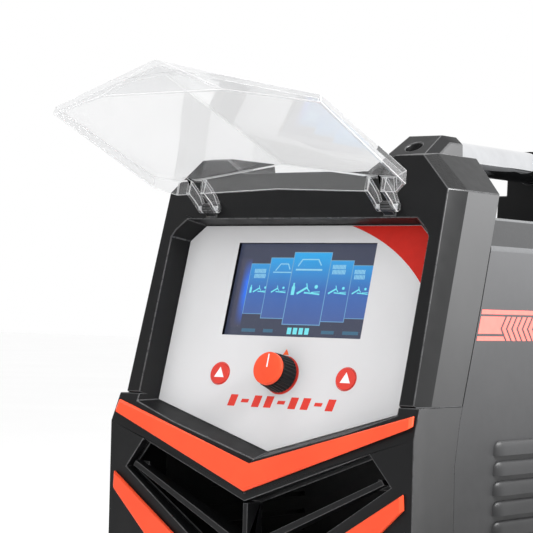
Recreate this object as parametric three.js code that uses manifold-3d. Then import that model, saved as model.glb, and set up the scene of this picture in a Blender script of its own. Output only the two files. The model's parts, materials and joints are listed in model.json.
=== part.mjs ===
// Compact inverter TIG welding machine: moulded front shell with a tilted control
// panel under a clear flip-up lid, sheet-metal case with louvres, tube handle,
// rear shell with fan, and the power electronics inside.
//
// Units are millimetres. +X is the machine's right-hand side seen from the front,
// +Y runs to the back and +Z is up. Inside the machine group, lengths are measured
// from the centre of the display, which stands DISPLAY_HEIGHT above the floor.

import * as THREE from "three";
import { mergeVertices } from "three/addons/utils/BufferGeometryUtils.js";
import { ConvexGeometry } from "three/addons/geometries/ConvexGeometry.js";
import Module from "manifold-3d";

const wasm = await Module();
wasm.setup();

// ---------------------------------------------------------------- dimensions

const DISPLAY_HEIGHT = 262;
const FLOOR = -DISPLAY_HEIGHT;
const LEAN = THREE.MathUtils.degToRad(15.9);
const GAP = 0.3;

const CASE_HALF_WIDTH = 103;
const CASE_TOP = 44;
const CASE_FOLD = 25;
const CASE_TOP_HALF_WIDTH = 99;
const CASE_BOTTOM = -249;
const SHEET = 1.5;
const CASE_REAR = 396;

const FRAME_DEPTH = 13.65;
const PANEL_THICKNESS = 2.5;
const LEDGE_DEPTH = PANEL_THICKNESS + GAP;
const LEDGE_WIDTH = 5;
const WALL = 3;

const PROW_SIDE_X = 106;
const PROW_SIDE_Y = -39.5;
const PROW_APEX_Y = -47.8;
const PROW_FLARE_END_X = 103.4;
const PROW_FLARE_END_Y = -21.5;
const PROW_REAR_Y = 20;
const PROW_TOP = -63.5;
const SHELL_BOTTOM = -247;
const PROW_SLOPE = (PROW_SIDE_Y - PROW_APEX_Y) / PROW_SIDE_X;
const PROW_FOLD_CENTRE = -116;
const PROW_FOLD_RISE = 0.339;
const PROW_LEAN = Math.tan(THREE.MathUtils.degToRad(22));

const CONNECTOR_FACE_Y = -38;
const CONNECTOR_Z = -213;
const DINSE_X = 66;

const WINDOW_WIDTH = 98;
const WINDOW_HEIGHT = 57;
const BUTTON_X = 44.5;
const BUTTON_S = -52.2;
const BUTTON_RADIUS = 6.2;
const KNOB_S = -51.5;
const KNOB_RADIUS = 10.2;
const KNOB_BASE_RADIUS = 11.3;
const KNOB_TOP = 16;

const HINGE_S = 44.5;
const HINGE_DEPTH = 17.3;
const HINGE_PIN_RADIUS = 1.5;
const LID_RISE = THREE.MathUtils.degToRad(22.5);
const LID_ORIGIN_Y = -16.73;
const LID_ORIGIN_Z = 54.49;
const LID_WALL = 2;

const TUBE_Z = 89.1;
const TUBE_RADIUS = 10.5;
const TUBE_BORE = 8.9;
const HANDLE_FRONT_Y = 154;
const HANDLE_REAR_Y = 272;
const HANDLE_TOP = 100.6;
const SOCKET_DEPTH = 14;

const LOUVRE_COUNT = 12;
const LOUVRE_PITCH = 11.5;
const LOUVRE_FIRST_Z = -92.35;
const LOUVRE_HEIGHT = 8.4;
const LOUVRE_DEPTH = 3.4;
const LOUVRE_FRONT_Y = 51;
const LOUVRE_LENGTH = 110;

const REAR_FACE_Y = 422;
const FAN_Z = -165;
const FAN_HALF = 60;

// ------------------------------------------------------------------ finishes

const finish = (color, roughness, metalness) =>
  new THREE.MeshStandardMaterial({ color, roughness, metalness });
const BLACK_PLASTIC = finish(0x1c1d20, 0.5, 0);
const CASE_PAINT = finish(0x3f4044, 0.45, 0.2);
const ORANGE = finish(0xf85a30, 0.35, 0);
const PANEL_SILVER = finish(0xcdcdd0, 0.5, 0.1);
const SCREEN_BLUE = finish(0x1e5a9a, 0.25, 0);
const CLEAR = new THREE.MeshStandardMaterial({
  color: 0xeef2f4, roughness: 0.08, metalness: 0, transparent: true, opacity: 0.35,
});
const CHROME = finish(0xd8dadd, 0.12, 1);
const STEEL = finish(0xa6a8ab, 0.35, 1);
const BRASS = finish(0xc9a24a, 0.3, 1);
const RUBBER = finish(0x161616, 0.85, 0);
const BOARD_GREEN = finish(0x1d5a38, 0.55, 0);
const ALUMINIUM = finish(0xb9bcc0, 0.4, 0.9);
const COPPER = finish(0xb06a3a, 0.35, 0.9);
const RED = finish(0xd2382e, 0.4, 0);
const HOSE_BLUE = finish(0x2b4f7d, 0.5, 0);

// ------------------------------------------------------------------- helpers

const vec = (x, y, z) => new THREE.Vector3(x, y, z);

// A closed, welded copy of a geometry, without zero-area triangles.
function welded(geometry) {
  const bare = geometry.clone();
  bare.deleteAttribute("normal");
  bare.deleteAttribute("uv");
  const merged = mergeVertices(bare, 1e-4);
  const index = merged.getIndex().array;
  const kept = [];
  for (let i = 0; i < index.length; i += 3) {
    const [a, b, c] = [index[i], index[i + 1], index[i + 2]];
    if (a !== b && b !== c && c !== a) kept.push(a, b, c);
  }
  merged.setIndex(kept);
  return merged;
}

function solid(geometry) {
  const mesh = welded(geometry);
  return new wasm.Manifold(new wasm.Mesh({
    numProp: 3,
    vertProperties: new Float32Array(mesh.getAttribute("position").array),
    triVerts: new Uint32Array(mesh.getIndex().array),
  }));
}

function geometryOf(body) {
  const mesh = body.getMesh();
  const geometry = new THREE.BufferGeometry();
  geometry.setAttribute("position", new THREE.BufferAttribute(mesh.vertProperties, 3));
  geometry.setIndex(new THREE.BufferAttribute(mesh.triVerts, 1));
  geometry.computeVertexNormals();
  return geometry;
}

const join = (first, ...rest) => rest.reduce((sum, body) => sum.add(body), first);
const cut = (first, ...rest) => rest.reduce((left, body) => left.subtract(body), first);
const hull = (points) => solid(new ConvexGeometry(points));

// The given points and their mirror images across the machine's centre plane.
const mirrored = (points) => [...points, ...points.map((p) => vec(-p.x, p.y, p.z))];

// A point of the tilted panel frame: x, s up along the panel, depth out of it.
const onFace = (x, s, depth) => vec(
  x,
  s * Math.sin(LEAN) - depth * Math.cos(LEAN),
  s * Math.cos(LEAN) + depth * Math.sin(LEAN),
);

function extruded(outline, length, basis) {
  const shape = new THREE.Shape(outline.map(([a, b]) => new THREE.Vector2(a, b)));
  const geometry = new THREE.ExtrudeGeometry(shape, { depth: length, bevelEnabled: false });
  geometry.applyMatrix4(basis);
  return geometry;
}

const BASIS_XZ = new THREE.Matrix4().makeBasis(vec(1, 0, 0), vec(0, 0, 1), vec(0, -1, 0));
const BASIS_YZ = new THREE.Matrix4().makeBasis(vec(0, 1, 0), vec(0, 0, 1), vec(1, 0, 0));

// Prisms of an outline given in two axes, running between two values of the third.
const prismXZ = (outline, y0, y1) =>
  solid(extruded(outline, y1 - y0, BASIS_XZ).translate(0, y1, 0));
const prismYZ = (outline, x0, x1) =>
  solid(extruded(outline, x1 - x0, BASIS_YZ).translate(x0, 0, 0));
const prismXY = (outline, z0, z1) =>
  solid(extruded(outline, z1 - z0, new THREE.Matrix4()).translate(0, 0, z0));

function box(x0, x1, y0, y1, z0, z1) {
  const geometry = new THREE.BoxGeometry(x1 - x0, y1 - y0, z1 - z0);
  return solid(geometry.translate((x0 + x1) / 2, (y0 + y1) / 2, (z0 + z1) / 2));
}

// A round bar along Y, from y0 to y1.
function barY(radius, x, y0, y1, z, sides = 20) {
  const geometry = new THREE.CylinderGeometry(radius, radius, y1 - y0, sides);
  return solid(geometry.translate(x, (y0 + y1) / 2, z));
}

// A round bar along X, from x0 to x1.
function barX(radius, x0, x1, y, z, sides = 12) {
  const geometry = new THREE.CylinderGeometry(radius, radius, x1 - x0, sides);
  return solid(geometry.rotateZ(-Math.PI / 2).translate((x0 + x1) / 2, y, z));
}

// A round bar along Z, from z0 to z1.
function barZ(radius, x, y, z0, z1, sides = 20) {
  const geometry = new THREE.CylinderGeometry(radius, radius, z1 - z0, sides);
  return solid(geometry.rotateX(Math.PI / 2).translate(x, y, (z0 + z1) / 2));
}

// A turned piece whose axis is Y. The profile lists [radius, y] up the axis.
function turned(profile, x, y, z, sides = 16) {
  const points = profile.map(([radius, along]) => new THREE.Vector2(radius, along));
  return solid(new THREE.LatheGeometry(points, sides).translate(x, y, z));
}

const machine = new THREE.Group();
const face = new THREE.Group();
face.rotation.x = Math.PI / 2 - LEAN;
machine.add(face);

function add(parent, name, body, material) {
  const mesh = new THREE.Mesh(geometryOf(body), material);
  mesh.name = name;
  parent.add(mesh);
  return mesh;
}

// --------------------------------------------------------------- front shell

const PANEL_LOOP = [[76.7, 39.5], [87, 29.6], [87, -70], [0, -97]];
const OPENING_LOOP = [[81.5, 39], [91, 28], [91, -74.5], [0, -104.8]];
const SEAM = [[63, 79], [52, 57], [34.3, -4], [12.6, -72], [8, -96.5], [8.5, -260]];

// The recess wall's outline at a depth in front of the control panel.
const recessLoop = (depth) => PANEL_LOOP.map(([x, s], i) => {
  const t = depth / FRAME_DEPTH;
  return vec(x + t * (OPENING_LOOP[i][0] - x), s + t * (OPENING_LOOP[i][1] - s), depth);
});

// The panel's outline drawn in by a margin, as [x, s] pairs right round.
function panelOutline(margin) {
  const side = 87 - margin;
  const half = [
    [76.7 - margin * 0.5, 39.5 - margin],
    [side, 29.6 - margin * 0.5],
    [side, -70 + margin * 0.8],
    [0, -97 + margin * 1.05],
  ];
  const left = half.slice(0, 3).reverse().map(([x, s]) => [-x, s]);
  return [...half, ...left];
}

const GRILLE_HALF = [[0, -120], [79, -89.5], [92.5, -106.5], [0, -170.6]];
const bothSides = (half) => [...half, ...half.slice(1, -1).reverse().map(([x, z]) => [-x, z])];

function faceHull(points) {
  return hull(mirrored(points.map((p) => onFace(p.x, p.y, p.z))));
}

function facePrism(outline, depth0, depth1) {
  const points = outline.flatMap(([x, s]) => [onFace(x, s, depth0), onFace(x, s, depth1)]);
  return hull(points);
}

// The prow's front surface: upright below its fold, leaning back above it.
function prowFrontY(x, z) {
  const foldZ = PROW_FOLD_CENTRE + PROW_FOLD_RISE * x;
  return PROW_APEX_Y + PROW_SLOPE * x + Math.max(0, z - foldZ) * PROW_LEAN;
}

// What lies in front of the leaning part of the prow's right half.
function aheadOfFold() {
  const wide = PROW_SIDE_X + 6;
  const corners = [-0.2, wide].flatMap((x) => [PROW_FOLD_CENTRE + PROW_FOLD_RISE * x, -50].map(
    (z) => vec(x, prowFrontY(x, z), z)));
  return [...corners, ...corners.map((p) => vec(p.x, p.y - 40, p.z))];
}

function frontOuter() {
  const [earTop, earSide] = SEAM;
  const upper = hull(mirrored([
    onFace(78.5, 76.6, FRAME_DEPTH), onFace(98.5, 56, FRAME_DEPTH),
    onFace(100.5, -69, FRAME_DEPTH), vec(80.5, 20, earTop[1]), vec(103, 16.7, earSide[1]),
    vec(103, -17.5, -62.6), vec(103, -5, -72), vec(80.5, earTop[0], earTop[1]),
    ...SEAM.slice(1, 4).map(([y, z]) => vec(CASE_HALF_WIDTH, y, z)),
  ]));
  const heights = [PROW_TOP, SHELL_BOTTOM];
  const flare = hull([
    ...mirrored(heights.flatMap((z) => [
      vec(PROW_SIDE_X, PROW_SIDE_Y, z), vec(PROW_FLARE_END_X, PROW_FLARE_END_Y, z),
    ])),
    ...heights.map((z) => vec(0, PROW_APEX_Y, z)),
  ]);
  const body = box(-PROW_FLARE_END_X, PROW_FLARE_END_X, PROW_FLARE_END_Y - 2, PROW_REAR_Y,
    SHELL_BOTTOM, PROW_TOP);
  const rightCut = aheadOfFold();
  const leftCut = rightCut.map((p) => vec(-p.x, p.y, p.z));
  const prow = cut(join(flare, body), hull(rightCut), hull(leftCut));
  const behindSeam = prismYZ([...SEAM, [150, -260], [150, 90], [65, 90]].reverse(), -120, 120);
  return join(upper, prow).subtract(behindSeam);
}

function earNotch() {
  const top = 100;
  return hull(mirrored([
    vec(46, -30, 80), vec(46, 90, 42), vec(75, -30, top), vec(75, 90, top),
  ]));
}

// The hollow behind the control panel and the ledge, open to the rear.
function frontHollow() {
  const upper = hull(mirrored([
    onFace(99, 33, -6), onFace(99.5, -72, -6), vec(100, 95, 39), vec(100, 95, -76),
  ]));
  const middle = box(-100, 100, -12, 95, -112, -70);
  const floor = SHELL_BOTTOM + WALL;
  const roof = [[100.5, floor], [100.5, -73], [0, -102], [-100.5, -73], [-100.5, floor]];
  const lower = prismXZ(roof, -34.5, 95);
  return join(upper, middle, lower);
}

function hingeKnuckle(x0, x1) {
  const pin = onFace(0, HINGE_S, HINGE_DEPTH);
  const barrel = barX(3.2, x0, x1, pin.y, pin.z);
  const root = hull([
    [x0, 39.8, 12], [x1, 39.8, 12], [x0, 51, 12], [x1, 51, 12],
    [x0, 41.6, HINGE_DEPTH], [x1, 41.6, HINGE_DEPTH],
    [x0, 47.4, HINGE_DEPTH], [x1, 47.4, HINGE_DEPTH],
  ].map(([x, s, depth]) => onFace(x, s, depth)));
  return join(barrel, root);
}

function buildFrontShell() {
  const recess = faceHull([...recessLoop(0), ...recessLoop(45)]);
  const pocket = facePrism(panelOutline(0), -LEDGE_DEPTH, 0.5);
  const throughHole = facePrism(panelOutline(LEDGE_WIDTH), -25, 0);
  const pin = onFace(0, HINGE_S, HINGE_DEPTH);
  const grille = prismXZ(bothSides(GRILLE_HALF), -60, -30);
  const connectorRecess = box(-92, 92, -60, CONNECTOR_FACE_Y, -242, -186);
  let body = cut(frontOuter(), earNotch(), frontHollow(), recess, pocket, throughHole);
  body = join(body, hingeKnuckle(59.5, 67), hingeKnuckle(-67, -59.5));
  body = cut(
    body, grille, connectorRecess,
    barX(HINGE_PIN_RADIUS + 0.35, 50, 76, pin.y, pin.z),
    barX(HINGE_PIN_RADIUS + 0.35, -76, -50, pin.y, pin.z),
    barY(15, DINSE_X, -60, -30, CONNECTOR_Z),
    barY(15, -DINSE_X, -60, -30, CONNECTOR_Z),
    barY(7, -20, -60, -30, CONNECTOR_Z),
    barY(8.2, 20, -60, -30, CONNECTOR_Z),
  );
  add(machine, "front_shell", body, BLACK_PLASTIC);
}

// A bar lying on one half of the prow's front, raised with a chamfered edge.
function prowPlate(outline, proud, chamfer) {
  const centreX = outline.reduce((sum, [x]) => sum + x, 0) / outline.length;
  const centreZ = outline.reduce((sum, [, z]) => sum + z, 0) / outline.length;
  const onProw = (x, z, lift) => vec(x, prowFrontY(Math.abs(x), z) - lift, z);
  const toward = (value, centre, span) => value + Math.sign(centre - value) * Math.min(
    chamfer, Math.abs(centre - value) * span,
  );
  const points = outline.flatMap(([x, z]) => [
    onProw(x, z, GAP),
    onProw(x, z, proud - chamfer),
    onProw(Math.abs(x) < 1e-6 ? x : toward(x, centreX, 0.5), toward(z, centreZ, 0.5), proud),
  ]);
  return hull(points);
}

function buildTrims() {
  const half = [[0, -100.5], [103, -67.5], [103.8, -73], [0, -114.5]];
  const right = prowPlate(half, 3.2, 1.6);
  const left = prowPlate(half.map(([x, z]) => [-x, z]), 3.2, 1.6);
  add(machine, "chevron_trim", join(right, left), ORANGE);
  const wedge = [[101, -109.5], [101.5, -118], [66, -153], [30, -176], [26, -160]];
  add(machine, "trim_right", prowPlate(wedge, 3.2, 1.6), ORANGE);
  add(machine, "trim_left", prowPlate(wedge.map(([x, z]) => [-x, z]), 3.2, 1.6), ORANGE);
}

// The air intake: a slat on each side that follows the chevron, a centre rib and a flange.
function buildGrille() {
  const back = -32.4;
  const flangeFront = -34.2;
  const recess = 1.2;
  const flange = cut(
    prismXZ(bothSides([[0, -113], [81, -82], [98, -107.5], [0, -178]]), flangeFront, back),
    prismXZ(bothSides([[0, -122], [79, -91.5], [90.5, -106.6], [0, -169]]), -40, -25),
  );
  const slat = (side) => hull([[0, -144.5], [86, -102.6], [88, -105.4], [0, -149]].flatMap(
    ([x, z]) => [vec(side * x, prowFrontY(x, z) + recess, z), vec(side * x, back, z)]));
  const tab = (side) => hull([[80, -103], [93, -103], [93, -109], [80, -109]].flatMap(
    ([x, z]) => [vec(side * x, flangeFront, z), vec(side * x, back, z)]));
  const rib = box(-1.6, 1.6, PROW_APEX_Y + recess, back, -169.2, -121);
  const body = join(flange, slat(1), slat(-1), tab(1), tab(-1), rib);
  add(machine, "intake_grille", body, BLACK_PLASTIC);
}

// ------------------------------------------------------------- control panel

function buildPanel() {
  const outline = panelOutline(0.4);
  const window = box(-WINDOW_WIDTH / 2, WINDOW_WIDTH / 2, -WINDOW_HEIGHT / 2,
    WINDOW_HEIGHT / 2, -10, 10);
  const plate = prismXY(outline, -PANEL_THICKNESS, 0);
  const panel = cut(
    plate, window, barZ(4.6, 0, KNOB_S, -10, 10),
    barZ(BUTTON_RADIUS + GAP, BUTTON_X, BUTTON_S, -10, 10),
    barZ(BUTTON_RADIUS + GAP, -BUTTON_X, BUTTON_S, -10, 10),
  );
  add(face, "control_panel", panel, PANEL_SILVER);
  const w = WINDOW_WIDTH / 2 - GAP;
  const h = WINDOW_HEIGHT / 2 - GAP;
  add(face, "lcd_window", box(-w, w, -h, h, -2.1, -0.6), CLEAR);
  add(face, "lcd_module", box(-53, 53, -34, 33.5, -10, -2.8), SCREEN_BLUE);
  add(face, "control_board", box(-80, 80, -68, 33, -16, -14.4), BOARD_GREEN);
}

function buildButtons() {
  [["right", BUTTON_X], ["left", -BUTTON_X]].forEach(([side, x]) => {
    const cap = barZ(BUTTON_RADIUS, x, BUTTON_S, -4, 0.7);
    const collar = barZ(BUTTON_RADIUS + 1.4, x, BUTTON_S, -4, -PANEL_THICKNESS - 0.4);
    add(face, `button_${side}`, join(cap, collar), RED);
    const housing = box(x - 3, x + 3, BUTTON_S - 3, BUTTON_S + 3, -14.1, -8);
    const stem = barZ(1.7, x, BUTTON_S, -9, -5.2, 12);
    add(face, `button_switch_${side}`, join(housing, stem), BLACK_PLASTIC);
  });
}

function buildKnob() {
  const housing = box(-7, 7, KNOB_S - 6.5, KNOB_S + 6.5, -14.1, -7);
  const bushing = barZ(4.1, 0, KNOB_S, -8, 0.9);
  const bore = barZ(3.4, 0, KNOB_S, -13, 5);
  add(face, "encoder_body", cut(join(housing, bushing), bore), STEEL);
  add(face, "encoder_shaft", barZ(3, 0, KNOB_S, -12.2, 10.8), STEEL);
  const ribs = 24;
  const outline = Array.from({ length: ribs * 2 }, (_, i) => {
    const angle = (i * Math.PI) / ribs;
    const radius = i % 2 ? KNOB_BASE_RADIUS - 1.1 : KNOB_BASE_RADIUS;
    return [radius * Math.cos(angle), radius * Math.sin(angle)];
  });
  const height = 11;
  const base = 1.6;
  const ribbed = solid(extruded(outline, height, new THREE.Matrix4()).translate(0, KNOB_S, base));
  const cone = new THREE.CylinderGeometry(KNOB_RADIUS, KNOB_BASE_RADIUS, height, ribs * 2);
  const taper = solid(cone.rotateX(Math.PI / 2).translate(0, KNOB_S, base + height / 2));
  const knob = cut(ribbed.intersect(taper), barZ(3.3, 0, KNOB_S, 0, 11.3));
  add(face, "knob", knob, BLACK_PLASTIC);
  add(face, "knob_cap", barZ(9.6, 0, KNOB_S, 12.9, KNOB_TOP, 32), ORANGE);
}

// ----------------------------------------------------------------------- lid

// A point of the open lid: x, v from the hinge edge outwards, w out of its rim plane.
const onLid = (x, v, w) => vec(
  x,
  LID_ORIGIN_Y - v * Math.cos(LID_RISE) + w * Math.sin(LID_RISE),
  LID_ORIGIN_Z + v * Math.sin(LID_RISE) + w * Math.cos(LID_RISE),
);

const LID_RIM = [[0, 2], [77.7, 0], [88.7, 10.2], [91.7, 105.5], [41.8, 123.6]];
const LID_FACE = [
  [58.2, 3.2, 9.8], [89, 13, 7], [90.7, 106, 4.5], [40.1, 124, 8.4], [0, 135.5, 14.1],
  [0, 6.7, 16.8],
];

function lidArm(x0, x1) {
  const pin = onFace(0, HINGE_S, HINGE_DEPTH);
  const barrel = barX(3, x0, x1, pin.y, pin.z);
  const neck = hull([
    onLid(x0, 3.6, 0.4), onLid(x1, 3.6, 0.4), onLid(x0, 3.6, 8.4), onLid(x1, 3.6, 8.4),
    onLid(x0, -9, 4.4), onLid(x1, -9, 4.4), onLid(x0, -9, -0.8), onLid(x1, -9, -0.8),
  ]);
  const end = hull([
    onLid(x0, -8.9, 4.4), onLid(x1, -8.9, 4.4), onLid(x0, -8.9, -0.8), onLid(x1, -8.9, -0.8),
    vec(x0, pin.y - 2, pin.z + 2), vec(x1, pin.y - 2, pin.z + 2),
    vec(x0, pin.y + 2, pin.z + 2), vec(x1, pin.y + 2, pin.z + 2),
    vec(x0, pin.y - 2, pin.z - 2), vec(x1, pin.y - 2, pin.z - 2),
  ]);
  return join(barrel, neck, end);
}

function buildLid() {
  const inset = (value, by) => Math.sign(value) * Math.max(0, Math.abs(value) - by);
  const outer = hull(mirrored([
    ...LID_RIM.map(([x, v]) => onLid(x, v, 0)), ...LID_FACE.map(([x, v, w]) => onLid(x, v, w)),
  ]));
  const v0 = (v) => (v < 50 ? v + LID_WALL : v - LID_WALL);
  const inner = hull(mirrored([
    ...LID_RIM.map(([x, v]) => onLid(inset(x, LID_WALL), v0(v), -8)),
    ...LID_RIM.map(([x, v]) => onLid(inset(x, LID_WALL), v0(v), 0)),
    ...LID_FACE.map(([x, v, w]) => onLid(inset(x, LID_WALL), v0(v), w - LID_WALL)),
  ]));
  const arms = [[56.5, 59], [67.5, 70], [-59, -56.5], [-70, -67.5]].map(([a, b]) => lidArm(a, b));
  const pin = onFace(0, HINGE_S, HINGE_DEPTH);
  const bore = HINGE_PIN_RADIUS + 0.35;
  const lid = cut(
    join(cut(outer, inner), ...arms),
    barX(bore, 50, 76, pin.y, pin.z), barX(bore, -76, -50, pin.y, pin.z),
  );
  add(machine, "lid", lid, CLEAR);
  add(machine, "lid_pin_right", barX(HINGE_PIN_RADIUS, 56, 70.5, pin.y, pin.z), STEEL);
  add(machine, "lid_pin_left", barX(HINGE_PIN_RADIUS, -70.5, -56, pin.y, pin.z), STEEL);
}

// ---------------------------------------------------------------------- case

const caseSection = (inset) => {
  const x = CASE_HALF_WIDTH - inset;
  const topX = CASE_TOP_HALF_WIDTH - inset;
  const top = CASE_TOP - inset;
  return [[-x, CASE_BOTTOM - inset], [x, CASE_BOTTOM - inset], [x, CASE_FOLD], [topX, top],
    [-topX, top], [-x, CASE_FOLD]];
};

// One pressed hood, standing out of the side sheet and open along its lower edge.
function louvre(side, z, inset) {
  const x = (value) => side * value;
  const y0 = LOUVRE_FRONT_Y + inset;
  const y1 = LOUVRE_FRONT_Y + LOUVRE_LENGTH - inset;
  const wall = CASE_HALF_WIDTH - (inset ? 3 : 0.5);
  const out = CASE_HALF_WIDTH + LOUVRE_DEPTH - inset;
  const low = z - (inset ? 2 : 0);
  const high = z + LOUVRE_HEIGHT - inset;
  const points = [
    [wall, y0, low], [wall, y1, low], [wall, y0 + 1.5, high], [wall, y1 - 1.5, high],
    [out - 0.6, y0 + 3.5, low], [out - 0.6, y1 - 3.5, low],
    [out, y0 + 5, low + 0.4], [out, y1 - 5, low + 0.4],
    [out - 0.5, y0 + 4.5, z + 3.2], [out - 0.5, y1 - 4.5, z + 3.2],
  ];
  return hull(points.map(([px, py, pz]) => vec(x(px), py, pz)));
}

function buildCase() {
  const outer = prismXZ(caseSection(0), 0, CASE_REAR);
  const inner = prismXZ(caseSection(SHEET), -5, CASE_REAR + 5);
  const seamCut = [[-100, 80], ...SEAM.map(([y, z]) => [y + 0.5, z]), [-100, -260]];
  let cover = cut(outer, inner, prismYZ(seamCut, -150, 150));
  for (const side of [1, -1]) {
    for (let i = 0; i < LOUVRE_COUNT; i += 1) {
      const z = LOUVRE_FIRST_Z - i * LOUVRE_PITCH;
      cover = cut(join(cover, louvre(side, z, 0)), louvre(side, z, 1.1));
    }
  }
  cover = cut(cover, ...[110, 330].map((y) => barZ(3, 0, y, 30, 60, 12)));
  add(machine, "case_cover", cover, CASE_PAINT);
}

function buildTray() {
  const front = 9.2;
  const rear = CASE_REAR - 0.5;
  const half = CASE_HALF_WIDTH - SHEET - GAP;
  const outline = [
    [-half, -249], [half, -249], [half, -234], [half - SHEET, -234],
    [half - SHEET, -247.5], [-half + SHEET, -247.5], [-half + SHEET, -234], [-half, -234],
  ];
  add(machine, "base_tray", prismXZ(outline, front, rear), STEEL);
  [["front", 42], ["rear", 366]].forEach(([end, y]) => {
    [["right", 78], ["left", -78]].forEach(([side, x]) => {
      const profile = [[0, 0], [10, 0], [13, 12.4], [0, 12.4]];
      const points = profile.map(([r, h]) => new THREE.Vector2(r, h));
      const foot = new THREE.LatheGeometry(points, 20).rotateX(Math.PI / 2);
      add(machine, `foot_${end}_${side}`, solid(foot.translate(x, y, FLOOR)), RUBBER);
    });
  });
}

// -------------------------------------------------------------------- handle

const BOLT_Y = 122.7;
const BOLT_SEAT = 60;

// The raised part of a handle support: a bevelled block that slopes up to the tube.
function supportCrown() {
  const shoulder = HANDLE_TOP - 4.8;
  return hull(mirrored([
    vec(12, 136, HANDLE_TOP), vec(12, HANDLE_FRONT_Y, HANDLE_TOP),
    vec(17, 138.5, shoulder), vec(17, HANDLE_FRONT_Y, shoulder),
    vec(15.5, 92, HANDLE_TOP - 26.3), vec(19.5, 94, HANDLE_TOP - 31.5),
    vec(19.5, 94, 60), vec(18, HANDLE_FRONT_Y, 60),
  ]));
}

function supportBase() {
  const base = CASE_TOP + GAP;
  return hull(mirrored([
    vec(24.5, 90, 70.5), vec(24.5, HANDLE_FRONT_Y, 70.5),
    vec(25.5, 78, base), vec(25.5, HANDLE_FRONT_Y, base),
  ]));
}

function buildHandle() {
  const front = cut(
    join(supportCrown(), supportBase()),
    barY(TUBE_RADIUS + GAP, 0, HANDLE_FRONT_Y - SOCKET_DEPTH, 170, TUBE_Z, 32),
    barZ(5.4, 0, BOLT_Y, BOLT_SEAT - GAP, 120, 24), barZ(2.8, 0, BOLT_Y, 40, 61, 16),
  );
  const mid = (HANDLE_FRONT_Y + HANDLE_REAR_Y) / 2;
  const turnedAbout = (body) => solid(geometryOf(body).rotateZ(Math.PI).translate(0, 2 * mid, 0));
  add(machine, "handle_front_support", front, BLACK_PLASTIC);
  add(machine, "handle_rear_support", turnedAbout(front), BLACK_PLASTIC);
  const tubeStart = HANDLE_FRONT_Y - SOCKET_DEPTH + GAP;
  const tubeEnd = HANDLE_REAR_Y + SOCKET_DEPTH - GAP;
  const tube = cut(barY(TUBE_RADIUS, 0, tubeStart, tubeEnd, TUBE_Z, 32),
    barY(TUBE_BORE, 0, tubeStart - 5, tubeEnd + 5, TUBE_Z, 32));
  add(machine, "handle_tube", tube, CHROME);
  const bolt = cut(
    join(barZ(4.6, 0, BOLT_Y, BOLT_SEAT, BOLT_SEAT + 5, 24), barZ(2.5, 0, BOLT_Y, 45, 61, 16)),
    barZ(2.4, 0, BOLT_Y, BOLT_SEAT + 2, BOLT_SEAT + 6, 6),
  );
  add(machine, "handle_bolt_front", bolt, STEEL);
  add(machine, "handle_bolt_rear", turnedAbout(bolt), STEEL);
}

// ---------------------------------------------------------- front connectors

function buildConnectors() {
  const seat = CONNECTOR_FACE_Y - GAP;
  [["right", DINSE_X], ["left", -DINSE_X]].forEach(([side, x]) => {
    const bezel = turned([
      [9.7, -6], [19, -6], [21, -4], [21, 0], [14.4, 0], [14.4, 24], [9.7, 24], [9.7, -6],
    ], x, seat, CONNECTOR_Z);
    add(machine, `socket_bezel_${side}`, bezel, BLACK_PLASTIC);
    const contact = turned([
      [0, 14], [6.6, 14], [6.6, -4.5], [9.2, -4.5], [9.2, 26], [5, 26], [5, 40], [0, 40],
    ], x, seat, CONNECTOR_Z);
    add(machine, `socket_contact_${side}`, contact, BRASS);
  });
  const outlet = turned([
    [3, -12], [5.5, -12], [5.5, -4], [9, -4], [9, 0], [6.5, 0], [6.5, 16], [3, 16], [3, -12],
  ], -20, seat, CONNECTOR_Z);
  add(machine, "gas_outlet", outlet, BRASS);
  const remote = turned([
    [0, 2], [5.8, 2], [5.8, -5], [7.6, -5], [7.6, -3], [10.5, -3], [10.5, 0], [7.8, 0],
    [7.8, 12], [0, 12],
  ], 20, seat, CONNECTOR_Z);
  add(machine, "remote_socket", remote, CHROME);
}

// ---------------------------------------------------------------- rear shell

const ROCKER_X = -62;
const ROCKER_Z = -18;
const INLET_X = 62;
const INLET_Z = -18;
const GLAND_X = 62;
const GLAND_Z = -66;
const EARTH_X = -62;
const EARTH_Z = -66;

function buildRearShell() {
  const half = 105;
  const ring = (y, inset) => [
    vec(half - inset, y, SHELL_BOTTOM + inset), vec(half - inset, y, 27),
    vec(100 - inset, y, 49 - inset),
  ];
  const outer = hull(mirrored([
    ...ring(CASE_REAR + 0.5, 0), ...ring(REAR_FACE_Y - 8, 0), ...ring(REAR_FACE_Y, 7),
  ]));
  const inner = hull(mirrored([
    ...ring(CASE_REAR - 5, WALL), ...ring(REAR_FACE_Y - 10, WALL), ...ring(REAR_FACE_Y - WALL, 9),
  ]));
  const through = [REAR_FACE_Y - 20, REAR_FACE_Y + 10];
  const shell = cut(
    outer, inner,
    barY(56, 0, ...through, FAN_Z, 40),
    box(ROCKER_X - 15, ROCKER_X + 15, ...through, ROCKER_Z - 11, ROCKER_Z + 11),
    barY(6.5, INLET_X, ...through, INLET_Z),
    barY(10.5, GLAND_X, ...through, GLAND_Z),
    barY(4.5, EARTH_X, ...through, EARTH_Z),
  );
  add(machine, "rear_shell", shell, BLACK_PLASTIC);
}

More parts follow.
